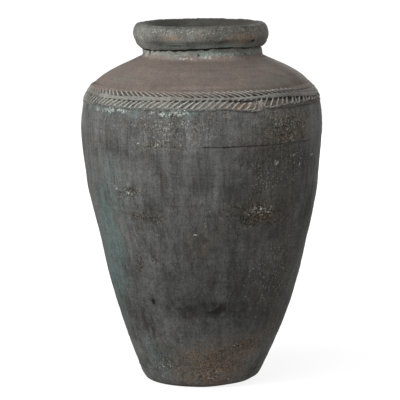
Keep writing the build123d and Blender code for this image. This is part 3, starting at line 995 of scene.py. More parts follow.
# %% Rim roll
ROLL_BACK, ROLL_BED, LIP_BACK, TOOL_LINE, ROLL_ROWS = NECK + LUTE, 972.5, 938, 951, 84
ROLL = [
    (ROLL_BACK, LIP_BACK), (166.8, 932), (168.3, LIP + 0.3), (171.0, 931.6), (175.6, 939), (181.4, 950),
    (185.6, 960), (187.2, 970), (186.2, 980), (183.2, 989), (178.4, 996.5), (170, 1000), (159.5, 998.2),
    (149, 991.5), (139, 982.5), (THROAT, ROLL_BED),
]
PITTED = [(22, 964, 26, 10, 1.0), (48, 956, 16, 5, 1.0), (-40, 985, 60, 16, 0.6)]


def rolled_coil(place):
    """Relief of the rim in millimetres: thumb-wide lumps, grain, pits and two level tool lines low on
    the roll."""
    off_line = place.height - (TOOL_LINE + 2.5 * place.noise(160, seed=2))
    lines = hill(off_line, 1.3) + 0.7 * hill(off_line + 8, 1.2)
    pitted = place.marks(PITTED, fray=0.8)
    return (
        1.3 * place.noise(62, 30)
        + 0.7 * place.noise(17, seed=1)
        + 0.45 * place.noise(6, seed=5)
        - (0.6 + 2.8 * pitted) * np.clip(place.noise(6, seed=9) - 0.35, 0, 1)
        - 1.3 * lines * np.clip(0.6 + 0.9 * place.noise(50, seed=7), 0, 1)
    )


def roll_section():
    """Section of the rim: from the crack round the lip, over the crest, down the funnel and back along
    its bed."""
    bed = straight_path([(THROAT, ROLL_BED), (ROLL_BACK, ROLL_BED), (ROLL_BACK, LIP_BACK)], SLIP_STEP)
    return section((smooth_path(ROLL, ROLL_ROWS), OUTER), (bed, JOINT))


def lift_lip(place, radius, level):
    """The lip's climb is added at the lip and none of it above the bulge, and the lip swells on both
    sides."""
    swell = between(np.abs(place.degrees), 50, 72, 90, 125) * hill(place.height - 941, 9)
    radius = radius + (2.2 + 1.8 * (place.degrees > 0)) * swell
    return radius, level + lip_climb(place) * rise(966 - place.height, 0, 36)


def mouth_stains(place, attributes):
    """Inside the mouth the marks of weather fade out and the clay is darkened evenly. Painted shade
    darkens the lip's underside, and the crest is darkened in patches, more so behind."""
    crest = rise(place.height, 996, 1000) * (place.radius < 172)
    inside = np.clip(crest + (place.radius < 160) * (place.height > 940), 0, 1)
    for key in attributes.keys() - {"tone"}:
        attributes[key] = attributes[key] * (1 - inside)
    attributes["tone"] = np.where(inside > 0.5, 1.0, attributes["tone"])
    # Painted shade: the underside of the lip's overhang is dark throughout.
    under_lip = (place.height < 940) * (place.radius < 169.5)
    crest_darkening = (0.5 + 0.4 * rise(np.abs(place.degrees), 70, 110)) * rise(place.height, 990, 998)
    crest_darkening = crest_darkening * np.clip(0.7 + 0.8 * place.noise(14, seed=26), 0, 1.2) * (1 - inside)
    attributes["soot"] = np.maximum.reduce([attributes["soot"] + crest_darkening, 0.8 * inside, under_lip])


rim = carry_round("rim_roll", roll_section(), COLUMNS, rolled_coil, move=lift_lip, stains=mouth_stains)

# %% [markdown]
# ## Slip behind the rim
# The last bed of slip is bent: it lies on the collar's top and runs a little way down behind the roll.
# It stops above the lip and leaves the crack there open; its darkness is painted shade.

# %% Bed of the rim
SLIP_FOOT = 955
SLIP_BEND = [
    (NECK, SLIP_FOOT), (ROLL_BACK, SLIP_FOOT), (ROLL_BACK, ROLL_BED), (THROAT + RECESS, ROLL_BED),
    (THROAT + RECESS, COLLAR_TOP), (NECK, COLLAR_TOP), (NECK, SLIP_FOOT),
]
rim_slip = section((straight_path(SLIP_BEND, HIDDEN_STEP), JOINT))
lutes.append(carry_round("rim_lute", rim_slip, HIDDEN_COLUMNS))

# %% [markdown]
# ## The pressed band
# The band hides the joint at the shoulder's edge. Two flat strips are laid on and pressed with the end
# of a stick, one row leaning each way, so that together they read as a herringbone with a plain rib for
# its spine. A strip is a ring like the others, with a low crown for its section and many columns for the
# strokes.

# %% Sections of the strips
STRIP_EDGE, STRIP_CROWN, RIB_EDGE, OVERLAP, STRIP_ROWS = 4.5, 8.0, 6.6, 1.4, 22


def strip_section(seat, width, upper):
    """Section of a strip on its straight seat: a low crown between two edges, the outer one lapping over
    the wall, and the flat underside."""
    start, end = RIB_HALF, RIB_HALF + width
    crown = [seat(start, RIB_EDGE), seat((start + end) / 2, STRIP_CROWN), seat(end + OVERLAP, STRIP_EDGE)]
    crown = smooth_path(crown if upper else crown[::-1], STRIP_ROWS)
    first, last = map(seat, (start, end) if upper else (end, start))
    return section(
        (straight_path([first, crown[0]], FACE_STEP), OUTER),
        (crown, OUTER),
        (straight_path([crown[-1], last], FACE_STEP), OUTER),
        (straight_path([last, first], SEAT_STEP), JOINT),
    )


def across(place, seat, along):
    """Distance of a point from the shoulder's edge, measured along a strip's seat."""
    start = seat(0)
    return (place.radius - start[0]) * along[0] + (place.height - start[1]) * along[1]


def flush(distance, width):
    """Height to take off a strip's crown to leave it just proud of the wall: the crown is a parabola to
    each side."""
    off = (distance - RIB_HALF - width / 2) / (width / 2)
    crown = STRIP_CROWN - (STRIP_CROWN - np.where(off < 0, RIB_EDGE, STRIP_EDGE)) * off**2
    return np.maximum(crown - SEAT_DEPTH - 0.5, 0)


upper_shape = strip_section(upper_seat, UPPER_STRIP, True)
lower_shape = strip_section(lower_seat, LOWER_STRIP, False)
print("points round a strip's section:", len(upper_shape[0]), "and", len(lower_shape[0]))

# %% [markdown]
# ## Strokes of the stick
# Copies of one modelled stroke would look stamped, and on the jar no two are alike. So each point is
# told how far along and across its strip it lies, and a slanted, jittered count of strokes gives its
# depth. The slant changes along the band as the potter's hand turned. Dirt and painted shade darken the
# strokes, and the ridges between them wear pale.

# %% Depth of the strokes
STROKES, STROKE_PITCH = 112, 18.3
# How far the strokes slant at a turn: sideways per distance across the strip.
LOWER_LEAN = [
    (-180, 1.0), (-110, 1.3), (-35, 1.35), (-10, 1.45), (10, 1.25), (25, 1.0), (38, 0.7), (52, 0.35),
    (75, 0.15), (110, 0.4), (180, 1.0),
]
UPPER_LEAN = [
    (-180, 1.5), (-90, 0.8), (-55, 0.85), (-30, 1.4), (-12, 1.8), (10, 1.7), (28, 1.6), (45, 1.6),
    (75, 1.6), (120, 1.6), (180, 1.5),
]


def grooves(place, distance, width, lean, seed, thin=0.0):
    """Depth from 0 to 1 of the strokes: a stroke's number along the strip grows with the turn and slants
    across the strip by the lean there, jitters by noise, and its fraction gives a wide groove between
    narrow ridges. Where they are thin, the ridges are narrower and less even."""
    slide = curve(place.degrees, lean) * (distance - RIB_HALF - width / 2) / STROKE_PITCH
    jitter = 0.16 * place.noise(34, 400, seed=seed) + 0.05 * place.noise(12, 400, seed=seed + 1)
    uneven = 1.4 * thin * place.noise(15, 400, seed=seed + 2)
    number = place.turn / (2 * np.pi) * STROKES + slide + jitter + uneven
    middle = np.abs((number % 1.0) - 0.5) * 2
    return 1 - rise(middle, 0.34 + thin, 0.88 + 0.6 * thin)


def thinning(place):
    """How far the lower strokes are thinned out: from the splice to the right end of the front."""
    return 0.18 * between(place.degrees, 18, 36, 90, 120)


def press_strokes(place, groove, inside, seed):
    """Keeps the pressed grooves and the ridges between them, where they are inside the strip, for its
    stains."""
    strength = inside * np.clip(0.9 + 0.5 * place.noise(60, 500, seed=seed), 0.35, 1.15)
    place.groove, place.ridge = groove * strength, (1 - groove) * strength
    return place.groove


def pressed_stains(place, attributes):
    """Dirt and painted shade lie in the strokes, and the ridges between them are worn pale."""
    at_least(attributes, "soot", 0.66 * place.groove)
    attributes["worn"] = place.ridge


print("strokes are", round(2 * np.pi * bare_edge[0] / STROKES, 1), "mm apart at the shoulder's edge")

# %% [markdown]
# ## Upper strip
# The upper strip was smeared onto the shoulder when it was laid, so its strokes fade into the dome, most
# of all at the left and right ends of the front. Beside the rib on the right a plain ribbon of clay was
# left, with one level groove over it. The strip's own edge follows the rib, which rises and falls along
# the band.

# %% Upper pressed strip
STRIP_COLUMNS, SPLICE = 2240, 27.0
# At a turn: how much of the strip is smeared, how wide the ribbon is, and how far the rib climbs.
SMEAR = [
    (-180, 2.0), (-96, 0.0), (-84, 1.0), (-73, 9.0), (-62, 7.0), (-45, 4.5), (-20, 4.0), (-7, 1.0),
    (8, 0.0), (20, 1.5), (34, 3.0), (50, 3.0), (62, 10.0), (75, 16.0), (95, 15.0), (130, 6.0),
    (180, 2.0),
]
RIBBON = [
    (-180, 0.0), (42, 0.0), (48, 0.5), (57, 4.5), (70, 8.0), (88, 8.5), (110, 4.0), (140, 0.0),
    (180, 0.0),
]
RIB_LIFT = [
    (-180, 0.0), (-120, 2.0), (-92, 5.5), (-69, 4.0), (-49, 1.5), (-35, 2.0), (-18, 4.5), (0, 4.0),
    (12, 3.0), (23, 3.5), (34, 5.5), (48, 5.5), (57, 2.5), (70, -4.0), (86, -5.0), (105, -4.0),
    (140, -1.0), (180, 0.0),
]


def upper_strokes(place):
    """Relief of the upper strip: strokes that lean to the left between the ribbon and the smeared part,
    the level groove on the right, and grain."""
    distance = across(place, upper_seat, upper_along)
    ribbon = RIB_HALF + curve(place.degrees, RIBBON)
    end = RIB_HALF + UPPER_STRIP - curve(place.degrees, SMEAR) - 1.5 * place.noise(14, 400, seed=33)
    bold = between(place.degrees, 6, 24, 50, 66)
    inside = rise(distance, ribbon - 2.0, ribbon + 1.5) * rise(end + 1.0 + 4.0 * bold - distance, 0, 4.0)
    pressed = grooves(place, distance, UPPER_STRIP, UPPER_LEAN, 30)
    strokes = press_strokes(place, pressed, inside, 32)
    right = between(place.degrees, 50, 60, 85, 105)
    level = right * hill(distance - ribbon - 1.5 - 0.6 * place.noise(30, 400, seed=35), 1.2)
    place.smeared = rise(distance, end - 3, end + 1) * rise(distance, ribbon + 1, ribbon + 3)
    place.groove = np.maximum(place.groove, level)
    place.ridge = (0.5 + 0.25 * bold - 0.15 * rise(-50 - place.degrees, 0, 20)) * place.ridge
    grain = 0.25 * place.noise(5, seed=6)
    flat = flush(distance, UPPER_STRIP) * place.smeared * (1 - 0.75 * right)
    return grain + 0.6 * inside - flat - 5.0 * strokes * (1 - 0.7 * place.smeared) - 2.4 * level


def lay_upper_strip(place, radius, level):
    """The upper strip's inner edge follows the rib, and its outer edge stays where the shoulder begins."""
    inner = 1 - rise(across(place, upper_seat, upper_along), RIB_HALF, RIB_HALF + UPPER_STRIP)
    lift = curve(place.degrees, RIB_LIFT) * inner
    return radius - 0.6 * lift, level + 0.8 * lift


def upper_stains(place, attributes):
    """Stains of the strokes, the shoulder's brown, and its colour where the strip is smeared."""
    pressed_stains(place, attributes)
    attributes["smear"] = place.smeared
    at_least(attributes, "brown", 0.8 * (place.face == OUTER))


upper_ends = (SPLICE + 0.07, SPLICE + 359.93)
band = [
    carry_round("upper_pressed_strip", upper_shape, STRIP_COLUMNS, upper_strokes,
                move=lay_upper_strip, ends=upper_ends, stains=upper_stains)
]

# %% [markdown]
# ## Rib
# The rib is a thin coil between the strips. Where the stick was pressed hard, in the middle of the
# front, the ends of the strokes bite into its flanks, and in one place it has split. Its base is bent
# over the shoulder's edge.

# %% Rib between the strips
RIB_CROWN, SPLIT_TURN = 7.0, -6


def rib_section():
    """Section of the rib: its base bent over the shoulder's edge, and a round top."""
    low, high = lower_seat(RIB_HALF, RIB_EDGE), upper_seat(RIB_HALF, RIB_EDGE)
    crown = edge_seam.at(-RIB_CROWN, LUTE / 2)
    base = [high, upper_seat(RIB_HALF), upper_seat(0), lower_seat(0), lower_seat(RIB_HALF), low]
    return section((smooth_path([low, crown, high], 14), OUTER), (straight_path(base, 5), JOINT))


def rib_relief(place):
    """Relief of the rib: pressed lumps, grain, and the ends of the strokes, which nick its two flanks."""
    low, high = across(place, lower_seat, lower_along), across(place, upper_seat, upper_along)
    bite = 0.15 + between(place.degrees, -15, -1, 25, 39) + 0.35 * place.noise(40, 400, seed=36)
    bite = np.clip(bite, 0, 1)
    below = grooves(place, low, LOWER_STRIP, LOWER_LEAN, 20, thinning(place))
    above = grooves(place, high, UPPER_STRIP, UPPER_LEAN, 30)
    nick = rise(low, 0.2, 3.4) * bite * below + rise(high, 0.2, 3.4) * bite * above
    split = hill(place.degrees - SPLIT_TURN, 2.2) * hill(high - 0.5, 1.6)
    left = between(place.degrees, -140, -100, -65, -5)
    place.groove = np.maximum(nick, 1.3 * split)
    place.ridge = (0.02 + 0.14 * left) * (1 - np.clip(nick, 0, 1))
    return 0.6 * place.noise(16, 400, seed=17) + 0.3 * place.noise(5, seed=6) - 3.6 * nick - 3.0 * split


def lay_rib(place, radius, level):
    """Shifts the rib along the wall: the wall leans, so climbing also draws it in."""
    lift = curve(place.degrees, RIB_LIFT)
    return radius - 0.53 * lift, level + 0.85 * lift


rib = carry_round("band_rib", rib_section(), STRIP_COLUMNS, rib_relief, move=lay_rib, stains=pressed_stains)
band.append(rib)

# %% [markdown]
# ## Lower strip
# The lower strip has the deepest strokes and a thin lumpy hem, crusted with lime, below them. Its ends
# pass each other on the right of the front: the last of it dips under the first, and the clay is torn
# there. Farther right the strokes are thin and shallow. An open strip with two ends shows the splice as
# the potter left it.

# %% Lower pressed strip
# At a turn: how wide the hem below the strokes is.
HEM = [
    (-180, 2.5), (-95, 2.0), (-65, 2.5), (-22, 2.0), (5, 1.5), (24, 1.5), (38, 4.0), (55, 7.0),
    (82, 8.0), (105, 5.0), (180, 2.5),
]
TORN = [(26, 800, 46, 20, 1.0), (-60, 794, 26, 10, 0.6), (-14, 792, 20, 8, 0.5)]
LOWER_COLUMNS, LOWER_RUN = 2300, 366


def lower_strokes(place):
    """Relief of the lower strip: strokes that lean to the right, a thin lumpy hem below them, a torn
    stretch at the splice, a lapped edge on the right and grain."""
    distance = across(place, lower_seat, lower_along)
    thin = thinning(place)
    ragged = (1.2 + 8 * thin) * place.noise(11, 400, seed=34)
    edge = RIB_HALF + LOWER_STRIP - curve(place.degrees, HEM) + ragged
    beyond = rise(distance, edge - 2.0, edge + 1.5)
    torn = place.marks(TORN, fray=0.7)
    lump = place.noise(6, seed=15)
    lumps = (beyond + 1.6 * torn) * (0.9 * place.noise(12, seed=14) + 0.8 * lump)
    inside = rise(distance, RIB_HALF - 3.0, RIB_HALF + 1.5) * rise(edge - distance, 0, 4.0)
    calm = 1 - 0.28 * between(place.degrees, -16, -2, 24, 36)
    pressed = grooves(place, distance, LOWER_STRIP, LOWER_LEAN, 20, thin)
    strokes = calm * press_strokes(place, pressed, inside * (1 - 0.75 * torn), 22)
    lapped = between(place.degrees, 20, 28, 48, 72) * hill(distance - edge, 1.5)
    lapped = lapped * np.clip(0.7 + 0.9 * place.noise(7, seed=37), 0, 1.2)
    place.hem = beyond
    place.groove = calm * place.groove * (1 - 1.4 * thin)
    place.groove = np.maximum(place.groove, torn * np.clip(-1.6 * lump, 0, 1))
    place.ridge = np.maximum(place.ridge, 0.8 * torn * np.clip(1.6 * lump, 0, 1))
    # Painted shade: the ridges at the band's far left are kept darker.
    far_left = between(place.degrees, -130, -110, -75, -55)
    place.ridge = calm * place.ridge * (1 - 2.4 * thin) * (1 - 0.5 * far_left)
    place.ridge = np.maximum(place.ridge, 0.75 * lapped)
    grain = 0.25 * place.noise(5, seed=6)
    return grain + lumps + 1.2 * lapped - flush(distance, LOWER_STRIP) * beyond - 5.4 * strokes


def lay_lower_strip(place, radius, level):
    """The lower strip's inner edge follows the rib, and its last stretch dips under its first, past the
    splice, where both ends taper into the wall."""
    turn = np.degrees(place.turn) - SPLICE
    inner = 1 - rise(across(place, lower_seat, lower_along), RIB_HALF, RIB_HALF + LOWER_STRIP)
    last = rise(turn, 342, 358)
    lift = curve(place.degrees, RIB_LIFT) * inner * (1 - 0.5 * last) - 6.0 * last
    lift = lift + 0.8 * place.noise(60, 400, seed=16)
    taper = 5.0 * rise(turn, 357, LOWER_RUN) + 3.0 * rise(4 - turn, 0, 4)
    return radius - 0.45 * lift - taper * lower_out[0], level + 0.88 * lift - taper * lower_out[1]


def lower_stains(place, attributes):
    """Stains of the strokes, a dim hem with lime on its left, brown on the right and deeper painted shade
    in the grooves at the far left."""
    pressed_stains(place, attributes)
    attributes["tone"] = attributes["tone"] * (1 - 0.5 * place.hem)
    at_least(attributes, "brown", 0.7 * between(place.degrees, 0, 22, 70, 100))
    left = rise(80 - np.abs(place.degrees + 35), 0, 40)
    at_least(attributes, "lime", place.hem * (0.2 + 0.7 * left))
    # Painted shade deepens the grooves at the band's far left.
    deep = 0.45 * between(place.degrees, -130, -110, -65, -45)
    attributes["soot"] = attributes["soot"] + deep * place.groove


lower_strip = carry_round("lower_pressed_strip", lower_shape, LOWER_COLUMNS, lower_strokes,
                          move=lay_lower_strip, ends=(SPLICE, SPLICE + LOWER_RUN), stains=lower_stains)
band.append(lower_strip)

# %% [markdown]
# ## A small language for the finish
# A weathered clay takes over a hundred shader nodes, and a graph of them drawn by hand is slow to read
# and to change. Two small classes let the finish be written as plain Python. The first is a number that
# changes over the surface: sums and products of such values add the Math nodes.

# %% Shader maths as expressions
class Value:
    """A number that changes over the surface. Each operator adds one Math node to the material."""

    def __init__(self, finish, socket):
        self.finish, self.socket = finish, socket

    def math(self, operation, first, second):
        """Math node of an operation on two values."""
        return self.finish.node("ShaderNodeMath", {"operation": operation}, {0: first, 1: second})

    def __add__(self, other):
        return self.math("ADD", self, other)

    def __sub__(self, other):
        return self.math("SUBTRACT", self, other)

    def __rsub__(self, other):
        return self.math("SUBTRACT", other, self)

    def __mul__(self, other):
        return self.math("MULTIPLY", self, other)

    __radd__, __rmul__ = __add__, __mul__

    def larger(self, other):
        """The larger of two values."""
        return self.math("MAXIMUM", self, other)

    def rise(self, low, high):
        """0 below low, 1 above high and a smooth step between them."""
        sockets = {"Value": self, "From Min": low, "From Max": high}
        return self.finish.node("ShaderNodeMapRange", {"interpolation_type": "SMOOTHSTEP"}, sockets)


reflected = [name.strip("_") for name in vars(Value) if name.startswith("__r") and name != "__repr__"]
print("reflected operators, so that 1 - value works:", reflected)

# %% [markdown]
# ## Nodes and colours
# The second class is a material, or the world, with its nodes. One method adds any node, and another
# blends two colours, because a Math node would turn a colour grey. Colours are written as they look on a
# screen and turned into light values once.

# %% Nodes of a finish
class Finish:
    """The nodes of a material or of the world."""

    def __init__(self, owner):
        owner.use_nodes = True
        self.owner, self.tree = owner, owner.node_tree

    def node(self, kind, settings=None, sockets=None, output=0):
        """Adds a node: its settings first, then the values or links of its sockets. Gives one output as
        a Value."""
        made = self.tree.nodes.new(kind)
        for key, value in (settings or {}).items():
            setattr(made, key, value)
        for key, value in (sockets or {}).items():
            self.feed(made.inputs[key], value)
        return Value(self, made.outputs[output])

    def feed(self, socket, value):
        """Links a Value to a socket, or sets a plain number or colour on it."""
        if isinstance(value, Value):
            self.tree.links.new(value.socket, socket)
        else:
            socket.default_value = value

    def blend(self, share, below, above, how="MIX"):
        """Colour below with colour above over it by a share."""
        settings = {"data_type": "RGBA", "blend_type": how}
        return self.node("ShaderNodeMix", settings, {0: share, 6: below, 7: above}, output=2)


def tone(red, green, blue):
    """Colour written as it looks on a screen, from 0 to 255, as the light values that shaders use: the
    screen's own curve, which is straight near black and a power of 2.4 above it."""
    screen = np.array([red, green, blue]) / 255
    light = np.where(screen <= 0.04045, screen / 12.92, ((screen + 0.055) / 1.055) ** 2.4)
    return (*light.tolist(), 1.0)


print("middle grey", [round(c, 3) for c in tone(118, 118, 118)])

# %% [markdown]
# ## Noise of the clay
# Fired clay is mottled at every scale, from clouds as wide as a hand down to single grains, and the
# scraper, a brush and wet hands drew some of it out into streaks. All layers of the finish share these
# noises, so that a pale patch is also the place where lime sits. They are made once for each finish and
# kept by name.

# %% Noises that the layers share
class Clay(Finish):
    """Finish of clay: noises at falling sizes in metres, streaks drawn out in height or sideways, and
    rough places."""

    def __init__(self, name):
        super().__init__(bpy.data.materials.new(name))
        self.place = self.node("ShaderNodeTexCoord", output=3)
        self.wide = self.cloud(0.16)
        self.middle = self.cloud(0.03, 5.0, 0.65)
        self.fine = self.cloud(0.007, 4.0, 0.7)
        self.tiny = self.cloud(0.0036, 2.0)
        self.streak = self.cloud(1.0, 3.0, 0.6, self.drawn_out(60.0, 4.5))
        self.brush = self.cloud(1.0, 2.0, 0.5, self.drawn_out(210.0, 8.0))
        self.wipe = self.cloud(1.0, 2.0, 0.5, self.drawn_out(6.0, 170.0))
        self.rough = self.mask("rough")
        self.patches = (self.cloud(0.055) + self.rough * 0.12).rise(0.48, 0.66)

    def mask(self, name):
        """One of the piece's own attributes."""
        return self.node("ShaderNodeAttribute", {"attribute_name": name}, output=2)

    def drawn_out(self, around, upright):
        """Object coordinates for streaks: so many of them to a metre sideways, and so many in height."""
        sockets = {"Vector": self.place, "Scale": (around, around, upright)}
        return self.node("ShaderNodeMapping", {}, sockets)

    def cloud(self, size, octaves=4.0, rough=0.6, vector=None, output=0):
        """Noise with lumps of a size: the node's scale is one over it."""
        sockets = {"Vector": vector or self.place, "Scale": 1.0 / size}
        sockets |= {"Detail": octaves, "Roughness": rough}
        return self.node("ShaderNodeTexNoise", {"noise_dimensions": "3D"}, sockets, output)

    def cells(self, feature, vector, scale, output=0):
        """Cells like those of cracked mud: the distance to their edges or middles, or a colour for
        each."""
        sockets = {"Vector": vector, "Scale": scale}
        return self.node("ShaderNodeTexVoronoi", {"feature": feature}, sockets, output)


WALL_TONES = tone(112, 113, 112), tone(73, 73, 71), tone(97, 89, 77)
print("wall tones, pale, dark and earth:", [round(colour[0], 3) for colour in WALL_TONES])

# %% [markdown]
# ## Layers of the finish
# The colour is built as the jar's own history was. First comes mottled clay with earth in it. Verdigris
# and rust grew on it, the tone makes it paler or darker, partly as painted light and shade, and hands wore
# its ridges and brushed it. Then come the cracks, pits and soot, whose mask also carries painted shade.
# Each layer blends one colour over the last by a mask from the mesh, frayed by the noises.

# %% Layers from bare clay to soot
VERDIGRIS_TONE, RUST_TONE, SMEAR_TONE = tone(88, 118, 113), tone(122, 91, 73), tone(106, 96, 90)
WORN_TONE, BRUSH_TONE = tone(188, 186, 178), tone(48, 47, 44)
# The soot colour also paints shade: in the crack under the lip, on the lip's underside, at the foot and in
# the strokes.
PIT_TONE, SOOT_AND_SHADE_TONE = tone(40, 39, 36), tone(34, 33, 31)


def bare_clay(clay, pale, dark, earth, earth_share, streaks, wipes, blotches):
    """Mottled clay: the sum of the noises and streaks chooses between two tones, then earth lies on it
    in patches, in the brown marks and by an even share."""
    shade = clay.wide * 0.6 + clay.middle * 0.3 + clay.fine * 0.1
    shade = shade + (clay.streak - 0.5) * (0.5 * streaks) + (clay.wipe - 0.5) * wipes
    colour = clay.blend(shade.rise(0.3, 0.72), dark, pale)
    colour = clay.blend(clay.patches * (clay.rough * 0.35 + 0.16) * blotches, colour, earth)
    earthy = (clay.mask("brown") * 0.85 + earth_share) * clay.middle.rise(0.25, 0.7)
    return clay.blend(earthy, colour, earth)


def weathered(clay, colour, streaks):
    """Verdigris, rust, the tone with its paleness and painted light and shade, the smear of the shoulder,
    worn ridges and brush marks, each blended over the last."""
    green = clay.mask("verdigris") * (clay.streak * 0.6 + clay.fine * 0.5).rise(0.3, 0.75)
    colour = clay.blend(green * 0.7, colour, VERDIGRIS_TONE)
    red = (clay.mask("rust") * 0.8 + clay.fine * 1.2 - 0.8).rise(0.05, 0.65)
    colour = clay.blend(red * 0.5, colour, RUST_TONE)
    colour = clay.blend(1.0, colour, clay.mask("tone"), "MULTIPLY")
    colour = clay.blend(clay.mask("smear"), colour, SMEAR_TONE)
    colour = clay.blend(clay.mask("worn") * clay.fine.rise(0.1, 0.55) * 0.72, colour, WORN_TONE)
    return clay.blend(clay.brush.rise(0.54, 0.7) * (0.45 * streaks), colour, BRUSH_TONE)


def cracked(clay):
    """Hair cracks from 0 to 1: close to the edges of cells that noise has bent, where the clay is rough
    or pale."""
    shift = {0: clay.cloud(0.02, output=1), 1: (0.016,) * 3, 2: clay.place}
    bent = clay.node("ShaderNodeVectorMath", {"operation": "MULTIPLY_ADD"}, shift)
    edges = clay.cells("DISTANCE_TO_EDGE", bent, 75.0)
    return (0.085 - edges).rise(0.0, 0.06) * (clay.middle + clay.rough * 0.2).rise(0.5, 0.66)


def dirt_and_shade(clay, colour, cracks, grain):
    """Dark cracks and pits, more of them where the clay is rough, and over all soot with painted shade."""
    pits = (clay.tiny - clay.rough * 0.07).rise(0.42, 0.3)
    colour = clay.blend(cracks * (clay.rough * 0.65 + 0.12) * grain, colour, PIT_TONE)
    colour = clay.blend(pits * (clay.rough * 0.4 + clay.patches * 0.1 + 0.25) * grain, colour, PIT_TONE)
    return clay.blend(clay.mask("soot") * (clay.fine * 0.8 + 0.35), colour, SOOT_AND_SHADE_TONE)


print("soot sends back", round(SOOT_AND_SHADE_TONE[1], 3), "and a worn ridge", round(WORN_TONE[1], 3), "of the light")

# %% [markdown]
# ## Lime, grain and the finishes
# White lime comes last, as a crust in its marks and as single specks, and grain makes the whole uneven.
# The same function serves the whole jar, with other tones for the wall, the shoulder, the rim, the band
# and the slip. The clay is matt, and its finest lumps are bump, since they are smaller than the faces of
# the mesh.

# %% Clay finishes
LIME_TONE = tone(176, 180, 173)


def limed(clay, specks):
    """Lime from 0 to 1: a crust where the mark and two noises together are high, or specks in a few
    cells of a fine pattern, chosen by each cell's own random number."""
    lime = clay.mask("lime")
    crust = (lime * 0.55 + clay.rough * 0.03 + clay.fine * 0.9 + clay.tiny * 0.7 - 1.28).rise(0.0, 0.3)
    middle, colour = (clay.cells("F1", clay.place, 330.0, output) for output in (0, 1))
    chance = clay.node("ShaderNodeSeparateColor", {}, {0: colour})
    chosen = (chance + lime * (0.15 * specks) - 0.975).rise(0.0, 0.05)
    speck = (0.55 - middle).rise(0.0, 0.3) * chosen
    return (crust * 0.7).larger(speck * 0.6)


def grainy(clay, grain):
    """Factor around 1 for the colour: the finer noises less their mean, stronger in patches and rough
    places."""
    worked = (clay.patches * 0.25 + clay.rough * 0.35 + 0.62) * grain
    factor = (clay.fine - 0.5) * (worked + clay.rough * 1.3) + (clay.tiny - 0.5) * worked * 1.8
    return factor + (clay.middle - 0.5) * (0.45 * grain) + 1.0


def fired_clay(name, pale, dark, earth, earth_share=0.0, specks=1.0, streaks=1.0, grain=1.0, blotches=1.0,
               wipes=0.15):
    """Weathered clay: mottled between two tones, tinted with earth by a share, then marked by the masks
    of the piece. The other numbers say how strong each layer is beside the wall's."""
    clay = Clay(name)
    colour = bare_clay(clay, pale, dark, earth, earth_share, streaks, wipes, blotches)
    cracks = cracked(clay)
    colour = dirt_and_shade(clay, weathered(clay, colour, streaks), cracks, grain)
    white = limed(clay, specks)
    colour = clay.blend(white, colour, LIME_TONE)
    colour = clay.blend(1.0, colour, grainy(clay, grain), "MULTIPLY")
    bumps = clay.fine * 0.7 + clay.tiny * 0.4 + white * 0.4 - cracks * 0.3
    bump_sockets = {"Strength": 0.25 + 0.25 * grain, "Distance": 0.002, "Height": bumps}
    shader = clay.tree.nodes["Principled BSDF"]
    clay.feed(shader.inputs["Base Color"], colour)
    clay.feed(shader.inputs["Roughness"], clay.middle * 0.2 + 0.6)
    clay.feed(shader.inputs["Specular IOR Level"], 0.06)
    clay.feed(shader.inputs["Normal"], clay.node("ShaderNodeBump", {}, bump_sockets))
    return clay.owner


wall_clay = fired_clay("wall clay", *WALL_TONES)
slip_clay = fired_clay("slip", *WALL_TONES)
shoulder_clay = fired_clay("shoulder clay", tone(104, 96, 91), tone(88, 81, 77), tone(110, 95, 84), 0.25,
                           specks=0.2, streaks=0.1, grain=0.6, blotches=0.6, wipes=0.4)
rim_clay = fired_clay("rim clay", tone(112, 113, 108), tone(74, 74, 69), tone(106, 92, 78), 0.05,
                      specks=3.2, streaks=0.2)
band_clay = fired_clay("band clay", tone(134, 134, 128), tone(98, 97, 92), tone(112, 100, 92), 0.1,
                       streaks=0.1)
print("nodes in the wall's finish:", len(wall_clay.node_tree.nodes))

# %% [markdown]
# ## Dressing the pieces
# Each group of pieces gets its finish. Beside it the table holds a slot name, the same for the shoulder
# and the wall, because a potter makes them of the same clay, and another for the coils.

# %% Finishes and slots
dressing = (
    (courses, wall_clay, "wall_clay"),
    ([shoulder], shoulder_clay, "wall_clay"),
    ([rim, neck], rim_clay, "coil_clay"),
    (coils, shoulder_clay, "coil_clay"),
    (band, band_clay, "band_clay"),
    (lutes, slip_clay, "lute_slip"),
)
for pieces, material, slot in dressing:
    for piece in pieces:
        piece.data.materials.append(material)
print("finishes:", [m.name for m in bpy.data.materials if m.users])

# %% [markdown]
# ## Floor
# The photograph is a studio picture cut out on white. A very large pale floor catches the jar's shadow.
# For the rays of the camera it also glows, and more so farther away, so that it meets the white backdrop
# without a line and no extra light falls on the jar.

# %% Floor
WHITE, NEAR_WHITE, FLOOR_GREY = ((level, level, level, 1.0) for level in (1.0, 0.89, 0.72))
HALF_FLOOR = 40


def backdrop_rays(finish):
    """1 on the rays that should see a white backdrop: the sum of those of the camera, of reflections and
    through glass."""
    kinds = ("Is Camera Ray", "Is Glossy Ray", "Is Transmission Ray")
    return sum(finish.node("ShaderNodeLightPath", output=kind) for kind in kinds)


